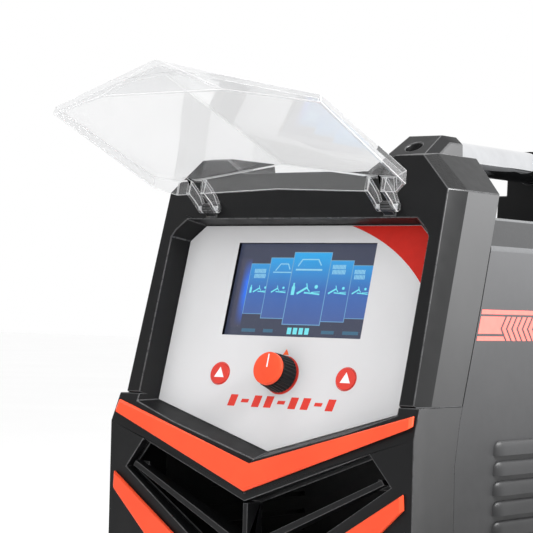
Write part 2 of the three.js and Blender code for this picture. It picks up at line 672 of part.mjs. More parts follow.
function buildFan() {
  const back = REAR_FACE_Y - WALL - GAP;
  const frame = cut(
    box(-FAN_HALF, FAN_HALF, back - 25, back, FAN_Z - FAN_HALF, FAN_Z + FAN_HALF),
    barY(56.5, 0, back - 21, back + 5, FAN_Z, 40),
    barY(56.5, 0, back - 40, back - 18, FAN_Z, 40),
  );
  const strut = join(
    box(-57, 57, back - 25, back - 22, FAN_Z - 3, FAN_Z + 3),
    box(-3, 3, back - 25, back - 22, FAN_Z - 57, FAN_Z + 57),
    barY(19, 0, back - 25, back - 21, FAN_Z),
    barY(2, 0, back - 21.5, back - 8, FAN_Z, 16),
  );
  add(machine, "fan_frame", join(frame, strut), BLACK_PLASTIC);
  const hub = cut(barY(18, 0, back - 20, back - 2, FAN_Z), barY(2.4, 0, back - 25, back - 6, FAN_Z, 16));
  const bladeCount = 7;
  const blades = Array.from({ length: bladeCount }, (_, i) => {
    const blade = new THREE.BoxGeometry(38, 2, 22);
    blade.translate(35, 0, 0);
    const tilt = new THREE.Matrix4().makeRotationX(THREE.MathUtils.degToRad(38));
    blade.applyMatrix4(tilt);
    blade.rotateY((i * 2 * Math.PI) / bladeCount);
    return solid(blade.translate(0, back - 11, FAN_Z));
  });
  add(machine, "fan_rotor", join(hub, ...blades), BLACK_PLASTIC);
  const guardY = REAR_FACE_Y + GAP + 1;
  const wires = [53, 36, 19].map((radius) => {
    const torus = new THREE.TorusGeometry(radius, 1.1, 4, 24);
    return solid(torus.rotateX(Math.PI / 2).translate(0, guardY, FAN_Z));
  });
  const radial = [Math.PI / 4, (3 * Math.PI) / 4].map((angle) => {
    const rod = new THREE.CylinderGeometry(1, 1, 136, 6);
    return solid(rod.rotateZ(Math.PI / 2).rotateY(angle).translate(0, guardY, FAN_Z));
  });
  add(machine, "fan_guard", join(...wires, ...radial), CHROME);
}

function buildRearFittings() {
  const seat = REAR_FACE_Y + GAP;
  const flange = box(ROCKER_X - 17, ROCKER_X + 17, seat, seat + 2, ROCKER_Z - 13, ROCKER_Z + 13);
  const sleeve = box(ROCKER_X - 14.6, ROCKER_X + 14.6, seat - 22, seat + 1,
    ROCKER_Z - 10.6, ROCKER_Z + 10.6);
  const well = box(ROCKER_X - 12.6, ROCKER_X + 12.6, seat - 19, seat + 6,
    ROCKER_Z - 9, ROCKER_Z + 9);
  const boss = box(ROCKER_X - 14, ROCKER_X + 14, seat - 22, seat - 19.5, ROCKER_Z - 9, ROCKER_Z + 9);
  add(machine, "rocker_frame", cut(join(flange, sleeve, boss), well), BLACK_PLASTIC);
  const rocker = prismYZ([[-7, -5], [3.2, -8.2], [1.6, 0], [3.2, 8.2], [-7, 5]].reverse(),
    ROCKER_X - 12.2, ROCKER_X + 12.2);
  const rockerGeometry = geometryOf(rocker).rotateX(THREE.MathUtils.degToRad(-10));
  add(machine, "rocker", solid(rockerGeometry.translate(0, seat, ROCKER_Z)), RED);
  const inlet = turned([
    [2.4, -14], [6, -14], [6, 0], [9, 0], [9, 5], [5, 5], [3.8, 9], [4.6, 10], [3.8, 14],
    [4.6, 15], [3.6, 19], [2.4, 19], [2.4, -14],
  ], INLET_X, seat, INLET_Z);
  add(machine, "gas_inlet", inlet, BRASS);
  const gland = turned([
    [5.5, -10], [10, -10], [10, 0], [13.5, 0], [13.5, 6], [11.5, 7], [11, 13], [8, 16],
    [5.5, 16], [5.5, -10],
  ], GLAND_X, seat, GLAND_Z);
  add(machine, "cable_gland", gland, BLACK_PLASTIC);
  const earth = turned([
    [0, -12], [4, -12], [4, 0], [7, 0], [7, 5], [4, 5], [4, 12], [0, 12],
  ], EARTH_X, seat, EARTH_Z, 6);
  add(machine, "earth_bolt", earth, BRASS);
}

// ----------------------------------------------------------------- internals

function finned(x0, x1, y0, y1, z0, z1, count) {
  const base = 6;
  const pitch = (x1 - x0 - 2) / (count - 1);
  const outline = [[x0, z0], [x1, z0]];
  for (let i = count - 1; i >= 0; i -= 1) {
    const right = x0 + i * pitch + 2;
    outline.push([right, z1], [right - 2, z1]);
    if (i > 0) outline.push([right - 2, z0 + base], [right - pitch, z0 + base]);
  }
  return prismXZ(outline, y0, y1);
}

function buildInternals() {
  const standoff = -247.2;
  const boardZ = -236;
  const board = join(
    box(-90, 90, 40, 380, boardZ, boardZ + 2),
    ...[[-80, 60], [80, 60], [-80, 350], [80, 350]].map(([x, y]) =>
      barZ(3, x, y, standoff, boardZ + 0.5, 10)),
  );
  add(machine, "power_board", board, BOARD_GREEN);
  const deck = boardZ + 2 + GAP;
  add(machine, "heatsink_input", finned(-88, -20, 250, 370, deck, deck + 60, 9), ALUMINIUM);
  add(machine, "heatsink_output", finned(20, 88, 250, 370, deck, deck + 60, 9), ALUMINIUM);
  const core = cut(box(-35, 35, 150, 215, deck, deck + 60),
    box(-22, -10, 140, 230, deck + 14, deck + 46), box(10, 22, 140, 230, deck + 14, deck + 46));
  add(machine, "transformer", core, COPPER);
  const coil = new THREE.TorusGeometry(19, 9, 8, 16);
  const inductor = solid(coil.translate(65, 180, deck + 28.5));
  add(machine, "output_inductor", inductor, COPPER);
  [[-76, 175], [-52, 201], [-76, 228]].forEach(([x, y], i) => {
    add(machine, `capacitor_${i + 1}`, barZ(11, x, y, deck, deck + 48, 20), BLACK_PLASTIC);
  });
  const hf = box(-88, -30, 60, 120, deck, deck + 45);
  add(machine, "hf_unit", hf, BLACK_PLASTIC);
  const valve = join(box(10, 40, 70, 110, deck, deck + 26), barZ(9, 25, 90, deck + 20, deck + 55, 20));
  add(machine, "gas_valve", valve, BRASS);
}

function buildHose() {
  const path = new THREE.CatmullRomCurve3([
    vec(INLET_X, 407, INLET_Z), vec(INLET_X, 380, INLET_Z - 4), vec(72, 320, -90),
    vec(82, 245, -128), vec(60, 150, -134), vec(30, 128, -170), vec(25, 114, -208),
  ]);
  const section = new THREE.Shape().absarc(0, 0, 4, 0, 2 * Math.PI);
  const hose = new THREE.ExtrudeGeometry(section, {
    curveSegments: 6, steps: 18, bevelEnabled: false, extrudePath: path,
  });
  add(machine, "gas_hose", solid(hose), HOSE_BLUE);
}

// ------------------------------------------------------------------ assembly

buildFrontShell();
buildTrims();
buildGrille();
buildPanel();
buildButtons();
buildKnob();
buildLid();
buildCase();
buildTray();
buildHandle();
buildConnectors();
buildRearShell();
buildFan();
buildRearFittings();
buildInternals();
buildHose();

// The row's origin is the middle of the bounding box's floor.
const bounds = new THREE.Box3().setFromObject(machine);
machine.position.set(0, -(bounds.min.y + bounds.max.y) / 2, DISPLAY_HEIGHT);

const group = new THREE.Group();
group.add(machine);
group.updateMatrixWorld(true);

export default group;
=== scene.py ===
"""Looks of a compact inverter TIG welding machine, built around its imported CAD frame.

Lengths written in the pieces below are millimetres. at() measures from the centre of
the display with the machine's own axes, and on_panel() uses the leaning control panel's:
x across, s up along the panel and d out of it.
"""

import json
import math

import bmesh
import bpy
from mathutils import Matrix, Vector


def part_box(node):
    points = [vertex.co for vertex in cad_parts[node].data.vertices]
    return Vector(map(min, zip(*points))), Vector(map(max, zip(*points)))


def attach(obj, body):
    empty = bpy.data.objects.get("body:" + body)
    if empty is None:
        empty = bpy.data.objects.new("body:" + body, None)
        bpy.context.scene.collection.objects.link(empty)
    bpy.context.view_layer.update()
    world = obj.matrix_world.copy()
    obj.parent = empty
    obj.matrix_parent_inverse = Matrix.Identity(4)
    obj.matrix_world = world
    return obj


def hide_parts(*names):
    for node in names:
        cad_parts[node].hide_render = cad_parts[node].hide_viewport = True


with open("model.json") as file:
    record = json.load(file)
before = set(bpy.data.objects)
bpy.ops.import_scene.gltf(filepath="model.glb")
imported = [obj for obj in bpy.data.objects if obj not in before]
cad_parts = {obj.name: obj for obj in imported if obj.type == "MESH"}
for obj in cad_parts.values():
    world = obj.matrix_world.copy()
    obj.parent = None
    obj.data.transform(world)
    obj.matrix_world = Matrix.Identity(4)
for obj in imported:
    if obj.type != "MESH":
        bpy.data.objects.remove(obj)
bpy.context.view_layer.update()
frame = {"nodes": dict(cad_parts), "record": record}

MM = 0.001
RECORD = frame["record"]
BODIES = RECORD["behaviour"]["bodies"]
JOINTS = {joint["name"]: joint for joint in RECORD["behaviour"]["joints"]}
BODY_OF = {node: body for body, nodes in BODIES.items() for node in nodes}
SLOT_OF = {part["node"]: part["material_slot"] for part in RECORD["subparts"]}

# ------------------------------------------------------------------ driving sizes

CASE_HALF_WIDTH = 103.0
CASE_TOP_HALF_WIDTH = 99.0
CASE_TOP = 44.0
CASE_FOLD = 25.0
CASE_BOTTOM = -249.0
CASE_REAR = 396.0
SHEET = 1.3
SEAM = [(63, 79), (52, 57), (34.3, -4), (12.6, -72), (8, -96.5), (8.5, -260)]
SEAM_GAP = 0.5
FLANK_X = 78.0

PANEL_TOP = 39.5
PANEL_SIDE = 87.0
WINDOW = (98.0, 57.0)
KNOB_S = -51.5
BUTTON_X = 44.5
BUTTON_S = -52.2

LOUVRE_COUNT = 12
LOUVRE_PITCH = 11.5
LOUVRE_FIRST_Z = -92.35
LOUVRE_HEIGHT = 8.4
LOUVRE_DEPTH = 3.39
LOUVRE_FRONT_Y = 51.0
LOUVRE_LENGTH = 110.0
LOUVRE_SHEET = 0.95

DECAL_TOP = -9.1
DECAL_BOTTOM = -26.7
DECAL_END = 250.0

PRINT_LOW, PRINT_HIGH = 0.02, 0.07  # how far the ink stands out of the panel

LID_RISE = math.radians(22.5)
LID_ORIGIN = (-16.73, 54.49)
LID_WALL = 2.0

WINDOW_FRONT = 1.35  # from the middle of the display glass to the panel's face


# ------------------------------------------------------------------ frame axes


def middle(node):
    low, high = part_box(node)
    return (Vector(low) + Vector(high)) / 2


NORMAL = Vector(JOINTS["knob_turn"]["axis"]).normalized()
UP_PANEL = Vector((0, NORMAL.z, -NORMAL.y))
ORIGIN = middle("lcd_window") + NORMAL * WINDOW_FRONT * MM


def at(x, y, z):
    return ORIGIN + Vector((x, y, z)) * MM


def on_panel(x, s, d):
    return ORIGIN + (Vector((x, 0, 0)) + UP_PANEL * s + NORMAL * d) * MM


def across_machine(y, z, x):
    return at(x, y, z)


def on_lid(x, v, w):
    y = LID_ORIGIN[0] - v * math.cos(LID_RISE) + w * math.sin(LID_RISE)
    z = LID_ORIGIN[1] + v * math.sin(LID_RISE) + w * math.cos(LID_RISE)
    return at(x, y, z)


# ------------------------------------------------------------------ materials


class Shader:
    """A Principled material with small helpers for wiring procedural texture."""

    def __init__(self, name, **sockets):
        self.material = bpy.data.materials.new(name)
        self.material.use_nodes = True
        self.nodes = self.material.node_tree.nodes
        self.links = self.material.node_tree.links
        self.principled = self.nodes["Principled BSDF"]
        for socket, value in sockets.items():
            self.principled.inputs[socket.replace("_", " ")].default_value = value
        self.coords = self.nodes.new("ShaderNodeTexCoord").outputs["Object"]
        self.height = None

    def node(self, kind, inputs=(), **settings):
        made = self.nodes.new(kind)
        for key, value in settings.items():
            setattr(made, key, value)
        for key, value in dict(inputs).items():
            if isinstance(value, bpy.types.NodeSocket):
                self.links.new(value, made.inputs[key])
            else:
                made.inputs[key].default_value = value
        return made

    def noise(self, size_mm, detail=3.0, stretch=(1, 1, 1)):
        mapped = self.node("ShaderNodeMapping", {"Vector": self.coords, "Scale": stretch})
        return self.node("ShaderNodeTexNoise", {
            "Vector": mapped.outputs["Vector"], "Scale": 1.0 / (size_mm * MM), "Detail": detail,
        }).outputs["Fac"]

    def remap(self, value, low, high, to_low, to_high):
        return self.node("ShaderNodeMapRange", {
            "Value": value, "From Min": low, "From Max": high, "To Min": to_low, "To Max": to_high,
        }).outputs["Result"]

    def blend(self, factor, first, second):
        made = self.node("ShaderNodeMix", data_type="RGBA")
        self.links.new(factor, made.inputs[0])
        made.inputs[6].default_value = (*first, 1)
        made.inputs[7].default_value = (*second, 1)
        return made.outputs[2]

    def axis(self, letter):
        return self.node("ShaderNodeSeparateXYZ", {"Vector": self.coords}).outputs[letter]

    def paint_light_by_height(self, shaded_color, lit_color):
        """Painted light and shade: base colour that lightens from the machine's foot to its top,
        standing in for light from above.
        """
        height = self.axis("Z")
        ripple = self.remap(self.noise(60), 0.3, 0.7, -0.04, 0.04)
        level = self.remap(height, at(0, 0, -170).z, at(0, 0, 70).z, 0, 1)
        total = self.node("ShaderNodeMath", {0: level, 1: ripple}, operation="ADD").outputs[0]
        self.feed("Base Color", self.blend(total, shaded_color, lit_color))

    def feed(self, socket, value):
        self.links.new(value, self.principled.inputs[socket])

    def tint(self, color, spread, size_mm):
        """Base colour that drifts a little either way over patches of size_mm."""
        darker = [channel * (1 - spread) for channel in color]
        lighter = [min(1, channel * (1 + spread)) for channel in color]
        factor = self.remap(self.noise(size_mm), 0.3, 0.7, 0, 1)
        self.feed("Base Color", self.blend(factor, darker, lighter))

    def rough(self, middle_value, spread, size_mm, stretch=(1, 1, 1)):
        noise = self.noise(size_mm, 4.0, stretch)
        self.feed("Roughness", self.remap(
            noise, 0.3, 0.7, middle_value - spread, middle_value + spread))

    def bump(self, height, distance_mm, strength=1.0):
        inputs = {"Height": height, "Distance": distance_mm * MM, "Strength": strength}
        if self.height is not None:
            inputs["Normal"] = self.height
        self.height = self.node("ShaderNodeBump", inputs).outputs["Normal"]
        self.feed("Normal", self.height)


def moulded(name, color, roughness, grain_mm=0.35, grain_depth=0.02, **sockets):
    """Injection-moulded plastic: fine spark-eroded grain and slight gloss patches."""
    sockets.setdefault("Specular_IOR_Level", 0.16)
    shader = Shader(name, **sockets)
    shader.tint(color, 0.08, 30)
    shader.rough(roughness, 0.05, 12)
    shader.bump(shader.noise(grain_mm, 2.0), grain_depth)
    return shader


def metal(name, color, roughness, stretch=(1, 1, 1), scratch=0.004, **sockets):
    shader = Shader(name, Metallic=1.0, **sockets)
    shader.tint(color, 0.05, 14)
    shader.rough(roughness, roughness * 0.35, 1.5, stretch)
    shader.bump(shader.noise(0.8, 3.0, stretch), scratch)
    return shader


def case_paint():
    """Powder coat: orange-peel ripple with a fine speckle, and painted shade that darkens it from
    grey at the top to near black at the foot.
    """
    shader = Shader("case_paint", Specular_IOR_Level=0.3)
    shader.paint_light_by_height((0.0, 0.0, 0.0002), (0.094, 0.095, 0.098))
    shader.rough(0.42, 0.04, 8)
    shader.bump(shader.noise(1.1, 2.0), 0.015)
    shader.bump(shader.noise(0.3, 1.0), 0.008)
    return shader.material


def satin(name, color, grain_mm, grain_depth, spread=0.08):
    """Satin plastic or paint of one tone under a fine grain."""
    shader = Shader(name, Specular_IOR_Level=0.18)
    shader.tint(color, spread, max(grain_mm, 0.8))
    shader.rough(0.42, 0.05, 8)
    shader.bump(shader.noise(grain_mm, 2.0), grain_depth)
    return shader.material


def shell_side():
    """The shell's outer flanks: satin, a paler painted lit copy of the black plastic, lighter towards
    the top as painted light from above.
    """
    shader = Shader("shell_side", Specular_IOR_Level=0.3)
    shader.paint_light_by_height((0.0, 0.0, 0.0002), (0.0905, 0.091, 0.0925))
    shader.rough(0.42, 0.03, 10)
    shader.bump(shader.noise(0.4, 2.0), 0.015)
    return shader.material


def clear_plastic(name, veil, coat):
    """Polished clear moulding: a trace of milky scatter under a glossy skin."""
    shader = Shader(name, Transmission_Weight=1.0 - veil, IOR=1.03, Roughness=0.02,
                    Coat_Weight=coat, Coat_IOR=1.5)
    shader.tint((0.885, 0.888, 0.893), 0.01, 30)
    shader.feed("Coat Roughness", shader.remap(shader.noise(25), 0.3, 0.7, 0.03, 0.09))
    shader.bump(shader.noise(28, 1.0), 0.02)
    return shader.material


def edge_highlight():
    """The rounded edges of black mouldings: a painted highlight, a paler and glossier copy of the
    black plastic.
    """
    shader = Shader("edge_highlight", Specular_IOR_Level=0.55)
    shader.tint((0.035, 0.0355, 0.037), 0.5, 7)
    shader.rough(0.3, 0.08, 4)
    shader.bump(shader.noise(0.35, 2.0), 0.01)
    return shader.material


def glowing(name, strength=1.0):
    """A dark surface that gives light of its own."""
    return Shader(name, Base_Color=(0.01, 0.01, 0.012, 1), Roughness=0.4, Emission_Strength=strength)


def side_glow():
    """The display's blue glow at its left, fading out above, below and outwards."""
    shader = glowing("display_glow")
    across = shader.remap(shader.axis("X"), -44.5 * MM, -40.0 * MM, 0, 1)
    height = shader.axis("Z")
    low = shader.remap(height, at(0, 0, -22).z, at(0, 0, -4).z, 0, 1)
    high = shader.remap(height, at(0, 0, 18).z, at(0, 0, 4).z, 0, 1)
    rise = shader.node("ShaderNodeMath", {0: low, 1: high}, operation="MULTIPLY").outputs[0]
    fade = shader.node("ShaderNodeMath", {0: rise, 1: across}, operation="MULTIPLY").outputs[0]
    shader.feed("Emission Color", shader.blend(fade, (0.05, 0.052, 0.09), (0.01, 0.16, 0.85)))
    return shader.material


def display_glass():
    """The display's flat cover: almost nothing but a trace of haze."""
    shader = Shader("display_glass", Transmission_Weight=1.0, IOR=1.02, Roughness=0.0)
    shader.tint((0.97, 0.975, 0.985), 0.01, 12)
    return shader.material


def lit(name, color, strength, spread=0.12, size_mm=3):
    """A glowing printed or lit area of the display."""
    shader = glowing(name, strength)
    darker = [channel * (1 - spread) for channel in color]
    shader.feed("Emission Color", shader.blend(shader.noise(size_mm), color, darker))
    return shader.material


def card_face(top_s, bottom_s):
    """A display card that fades from bright to deep blue down its height."""
    shader = glowing("display_card")
    bottom, top = on_panel(0, bottom_s, 0).z, on_panel(0, top_s, 0).z
    level = shader.remap(shader.axis("Z"), bottom, top, 0, 1)
    ramp = shader.node("ShaderNodeValToRGB", {"Fac": level})
    stops = ramp.color_ramp.elements
    stops[0].color = (0.055, 0.11, 0.33, 1)
    stops[1].color = (0.013, 0.38, 0.80, 1)
    stops.new(0.45).color = (0.035, 0.13, 0.44, 1)
    shader.feed("Emission Color", ramp.outputs["Color"])
    return shader.material


def panel_film():
    shader = Shader("panel_film", Specular_IOR_Level=0.3)
    shader.tint((0.655, 0.655, 0.665), 0.015, 40)
    shader.rough(0.36, 0.03, 5)
    shader.bump(shader.noise(0.25, 2.0), 0.004)
    return shader.material


def ink(name, color):
    shader = Shader(name, Specular_IOR_Level=0.15)
    shader.tint(color, 0.05, 6)
    shader.rough(0.38, 0.04, 3)
    return shader.material


def coil_wire():
    shader = Shader("copper_winding", Metallic=1.0)
    wave = shader.node("ShaderNodeTexWave", {"Vector": shader.coords, "Scale": 300.0})
    shader.feed("Base Color", shader.blend(wave.outputs["Fac"], (0.45, 0.17, 0.06), (0.7, 0.3, 0.12)))
    shader.rough(0.35, 0.08, 2)
    shader.bump(wave.outputs["Fac"], 0.2)
    return shader.material


def circuit_board():
    shader = Shader("circuit_board")
    cells = shader.node("ShaderNodeTexVoronoi", {"Vector": shader.coords, "Scale": 260.0})
    factor = shader.remap(cells.outputs["Distance"], 0.1, 0.5, 0, 1)
    shader.feed("Base Color", shader.blend(factor, (0.05, 0.22, 0.09), (0.015, 0.09, 0.04)))
    shader.rough(0.4, 0.08, 2)
    return shader.material


MATERIALS = {
    "black_plastic": moulded("black_plastic", (0.0068, 0.007, 0.0075), 0.42).material,
    "case_paint": case_paint(),
    "orange_trim": moulded("orange_trim", (0.80, 0.078, 0.028), 0.34, 0.8, 0.012).material,
    "panel_film": panel_film(),
    "screen": lit("display_backlight", (0.042, 0.05, 0.09), 1.0, 0.15, 9),
    "clear_plastic": clear_plastic("clear_plastic", 0.05, 0.6),
    "chrome": metal("chrome", (0.78, 0.79, 0.81), 0.07, (1, 1, 1), 0.0006).material,
    "steel": metal("steel", (0.52, 0.53, 0.54), 0.32, (1, 12, 1)).material,
    "brass": metal("brass", (0.72, 0.48, 0.17), 0.24).material,
    "rubber": moulded("rubber", (0.012, 0.012, 0.012), 0.75, 0.6, 0.05).material,
    "circuit_board": circuit_board(),
    "aluminium": metal("aluminium", (0.62, 0.63, 0.65), 0.36, (1, 10, 1)).material,
    "copper_winding": coil_wire(),
    "red_plastic": moulded("red_plastic", (0.70, 0.055, 0.04), 0.35, 0.4, 0.006).material,
    "gas_hose": moulded("gas_hose", (0.02, 0.06, 0.18), 0.45, 0.5, 0.02).material,
}
# Painted highlight: a milky, paler copy of the clear plastic for the lid's edges.
CLEAR_EDGE_HIGHLIGHT = clear_plastic("clear_edge_highlight", 0.62, 1.0)
DISPLAY_GLASS = display_glass()
BLACK_OXIDE = metal("black_oxide", (0.03, 0.03, 0.032), 0.35).material
BLACK_ANODISED = metal("black_anodised", (0.02, 0.02, 0.022), 0.5).material
# Painted light and shade: lit and shaded copies of the shell's black plastic, one for each way its
# faces look. The coarse grain on the shell's upward front faces is real; its darker tone is painted
# shade.
SHELL_SIDE = shell_side()
SHELL_STRIP = satin("shell_strip", (0.011, 0.0112, 0.0116), 0.4, 0.012)
SHELL_SLOPE = satin("shell_slope", (0.0095, 0.0097, 0.0101), 0.4, 0.012)
SHELL_GRAIN_SHADED = satin("shell_grain_shaded", (0.0028, 0.0029, 0.0031), 1.0, 0.35, 0.6)
# Painted shade on the case's shoulders over the fold, and a painted highlight along its bends.
CASE_SHOULDER_SHADE = satin("case_shoulder_shade", (0.035, 0.0355, 0.0365), 1.1, 0.015)
CASE_FOLD_HIGHLIGHT = satin("case_fold_highlight", (0.104, 0.106, 0.109), 1.1, 0.015)
# Painted highlight for the bevelled edges of the black mouldings.
EDGE_HIGHLIGHT = edge_highlight()
RED_INK = ink("red_ink", (0.58, 0.022, 0.014))
MARK_INK = ink("mark_ink", (0.70, 0.05, 0.035))
ORANGE_INK = ink("orange_ink", (0.93, 0.13, 0.03))
WHITE_INK = ink("white_ink", (0.86, 0.86, 0.87))
DECAL_INK = ink("decal_ink", (0.90, 0.16, 0.135))
LIGHT_LINE = lit("display_line", (0.30, 0.66, 0.86), 1.0)
PALE_LINE = lit("display_outline", (0.22, 0.50, 0.78), 0.8)
CYAN_ICON = lit("display_icon", (0.19, 0.82, 0.90), 1.0)
GLOW = side_glow()
DIM_BAR = lit("display_dim_bar", (0.045, 0.16, 0.26), 0.9)


# ------------------------------------------------------------------ piece helpers


def finished(obj, material, body="chassis", slot=None, replaces=()):
    """Gives a new piece its material and its body, and hides the CAD nodes that it replaces; slot is
    not used.
    """
    if not obj.data.materials:
        obj.data.materials.append(material)
    if replaces:
        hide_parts(*replaces)
    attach(obj, body)
    return obj


def object_from(name, mesh):
    obj = bpy.data.objects.new(name, mesh)
    bpy.context.scene.collection.objects.link(obj)
    return obj


def mesh_of(name, points, faces):
    mesh = bpy.data.meshes.new(name)
    mesh.from_pydata([tuple(point) for point in points], [], faces)
    mesh.validate()
    return mesh


def outward(mesh, weld_mm=0.0):
    """Turns every face outwards, after joining the points that meet."""
    shape = bmesh.new()
    shape.from_mesh(mesh)
    if weld_mm:
        bmesh.ops.remove_doubles(shape, verts=shape.verts, dist=weld_mm * MM)
        bmesh.ops.dissolve_degenerate(shape, edges=shape.edges, dist=weld_mm * MM / 2)
    bmesh.ops.recalc_face_normals(shape, faces=shape.faces)
    shape.to_mesh(mesh)
    shape.free()


def face_up(mesh, chosen):
    """Turns an open sheet over when the chosen faces look down."""
    shape = bmesh.new()
    shape.from_mesh(mesh)
    if sum(face.normal.z for face in shape.faces if chosen(face)) < 0:
        bmesh.ops.reverse_faces(shape, faces=shape.faces)
    shape.to_mesh(mesh)
    shape.free()


def thicken(sheet, thickness_mm):
    """Gives an open sheet its thickness, on the inner side."""
    wall = sheet.modifiers.new("thickness", "SOLIDIFY")
    wall.thickness = thickness_mm * MM
    wall.offset = -1
    wall.use_even_offset = True


def cut_away(obj, cutter):
    """Cuts one object out of another and makes the result into mesh."""
    cut = obj.modifiers.new("slots", "BOOLEAN")
    cut.operation = "DIFFERENCE"
    cut.object = cutter
    cut.solver = "EXACT"
    graph = bpy.context.evaluated_depsgraph_get()
    mesh = bpy.data.meshes.new_from_object(obj.evaluated_get(graph))
    obj.modifiers.clear()
    obj.data = mesh
    bpy.data.objects.remove(cutter)


def soften(obj, width_mm, segments=2, angle=28, smooth=35):
    """Rounds the sharp edges and shades the rest smoothly."""
    if width_mm:
        bevel = obj.modifiers.new("edges", "BEVEL")
        bevel.width = width_mm * MM
        bevel.segments = segments
        bevel.limit_method = "ANGLE"
        bevel.angle_limit = math.radians(angle)
        bevel.use_clamp_overlap = False
        bevel.harden_normals = False
    for polygon in obj.data.polygons:
        polygon.use_smooth = True
    obj.data.set_sharp_from_angle(angle=math.radians(smooth))
    if width_mm:
        weighted = obj.modifiers.new("shading", "WEIGHTED_NORMAL")
        weighted.keep_sharp = False
    return obj


def refined(node, width_mm=0.4, segments=2, material=None):
    """A clean copy of a CAD node: flat faces made whole and edges rounded."""
    shape = bmesh.new()
    shape.from_mesh(frame["nodes"][node].data)
    bmesh.ops.remove_doubles(shape, verts=shape.verts, dist=0.002 * MM)
    bmesh.ops.dissolve_limit(
        shape, angle_limit=math.radians(0.8), verts=shape.verts, edges=shape.edges)
    mesh = bpy.data.meshes.new(node + "_fine")
    shape.to_mesh(mesh)
    shape.free()
    mesh.materials.clear()
    obj = object_from(node + "_fine", mesh)
    soften(obj, width_mm, segments)
    slot = SLOT_OF[node]
    finished(obj, material or MATERIALS[slot], BODY_OF[node], slot, (node,))
    # Painted highlight: the bevelled edges of black plastic get a paler, glossier material.
    if slot == "black_plastic" and width_mm:
        mesh.materials.append(EDGE_HIGHLIGHT)
        obj.modifiers["edges"].material = 1
    return obj


def lathe(name, profile, centre, axis, sides=72):
    """A turned mesh: [radius, height] pairs swept round an axis through centre."""
    turn = Vector((0, 0, 1)).rotation_difference(Vector(axis)).to_matrix()
    points, faces = [], []
    count = len(profile)
    for i in range(sides):
        angle = 2 * math.pi * i / sides
        for radius, height in profile:
            local = Vector((radius * math.cos(angle), radius * math.sin(angle), height)) * MM
            points.append(centre + turn @ local)
    for i in range(sides):
        j = (i + 1) % sides
        for k in range(count - 1):
            faces.append((i * count + k, j * count + k, j * count + k + 1, i * count + k + 1))
    mesh = mesh_of(name, points, faces)
    outward(mesh, 0.001)
    return object_from(name, mesh)


def turned(node, profile, centre, axis, width_mm=0.25, segments=2, sides=72):
    """A smooth turned piece that stands for a faceted CAD node."""
    obj = lathe(node + "_fine", profile, centre, axis, sides)
    soften(obj, width_mm, segments, 28, 32)
    slot = SLOT_OF[node]
    return finished(obj, MATERIALS[slot], BODY_OF[node], slot, (node,))


def prism(name, outline, place, low, high):
    """A flat-ended solid: outline points go through place(a, b, height)."""
    count = len(outline)
    points = [place(a, b, h) for h in (low, high) for a, b in outline]
    faces = [tuple(range(count)), tuple(range(2 * count - 1, count - 1, -1))]
    faces += [(i, (i + 1) % count, count + (i + 1) % count, count + i) for i in range(count)]
    mesh = mesh_of(name, points, faces)
    outward(mesh)
    return object_from(name, mesh)


def joined(name, pieces):
    """One object from several, each already in place."""
    shape = bmesh.new()
    for piece in pieces:
        shape.from_mesh(piece.data)
        bpy.data.objects.remove(piece)
    mesh = bpy.data.meshes.new(name)
    shape.to_mesh(mesh)
    shape.free()
    return object_from(name, mesh)


def circle(x, y, radius, count=40):
    angles = [2 * math.pi * i / count for i in range(count)]
    return [(x + radius * math.cos(a), y + radius * math.sin(a)) for a in angles]


# ------------------------------------------------------------------ shells and case


def shell_shade_slot(normal, centre):
    """The material slot of a face of the shell, or None for plain black plastic. The slots hold lit
    and shaded copies of the plastic, picked by which way the face looks: painted light and shade.
    """
    side, strip, slope, grain = 2, 3, 4, 5
    grain_end_y, slope_start_z = 22, 50
    outward_x = normal.x * math.copysign(1, centre.x)
    if abs(centre.x) < FLANK_X or outward_x < 0.3:
        return None
    if outward_x > 0.992:
        return side
    looks_up = normal.z > 0.3
    if looks_up and centre.y < grain_end_y:
        return grain
    if looks_up and centre.z > slope_start_z:
        return slope
    return strip if normal.y < -0.05 else side


def front_shell():
    """The moulded shell, with painted light and shade on its flanks, strips and slopes: lit and
    shaded copies of its black plastic.
    """
    mesh = refined("front_shell", 0.55, 2).data
    for shaded_copy in (SHELL_SIDE, SHELL_STRIP, SHELL_SLOPE, SHELL_GRAIN_SHADED):
        mesh.materials.append(shaded_copy)
    for polygon in mesh.polygons:
        centre = (polygon.center - ORIGIN) / MM
        polygon.use_smooth = abs(centre.x) < FLANK_X
        slot = shell_shade_slot(polygon.normal, centre)
        if slot is not None:
            polygon.material_index = slot


def seam_y(z):
    for (y0, z0), (y1, z1) in zip(SEAM, SEAM[1:]):
        if z1 <= z <= z0:
            return y0 + (y1 - y0) * (z - z0) / (z1 - z0)
    return SEAM[-1][0]


def rounded_section():
    """The case's right half section from the bottom edge to the top centre."""
    bend = 2.6
    lean = math.atan2(CASE_HALF_WIDTH - CASE_TOP_HALF_WIDTH, CASE_TOP - CASE_FOLD)
    straight = [CASE_BOTTOM] + [z for _, z in reversed(SEAM[2:5])] + [CASE_FOLD - 0.6]
    points = [(CASE_HALF_WIDTH, z) for z in straight]
    points += [(CASE_HALF_WIDTH - 0.08, CASE_FOLD + 0.6), (CASE_HALF_WIDTH - 0.5, CASE_FOLD + 2.4)]
    centre = (CASE_TOP_HALF_WIDTH - bend * 0.85, CASE_TOP - bend)
    steps = 7
    for i in range(steps + 1):
        angle = lean + (math.pi / 2 - lean) * i / steps
        points.append((centre[0] + bend * math.cos(angle), centre[1] + bend * math.sin(angle)))
    points.append((0, CASE_TOP))
    return points


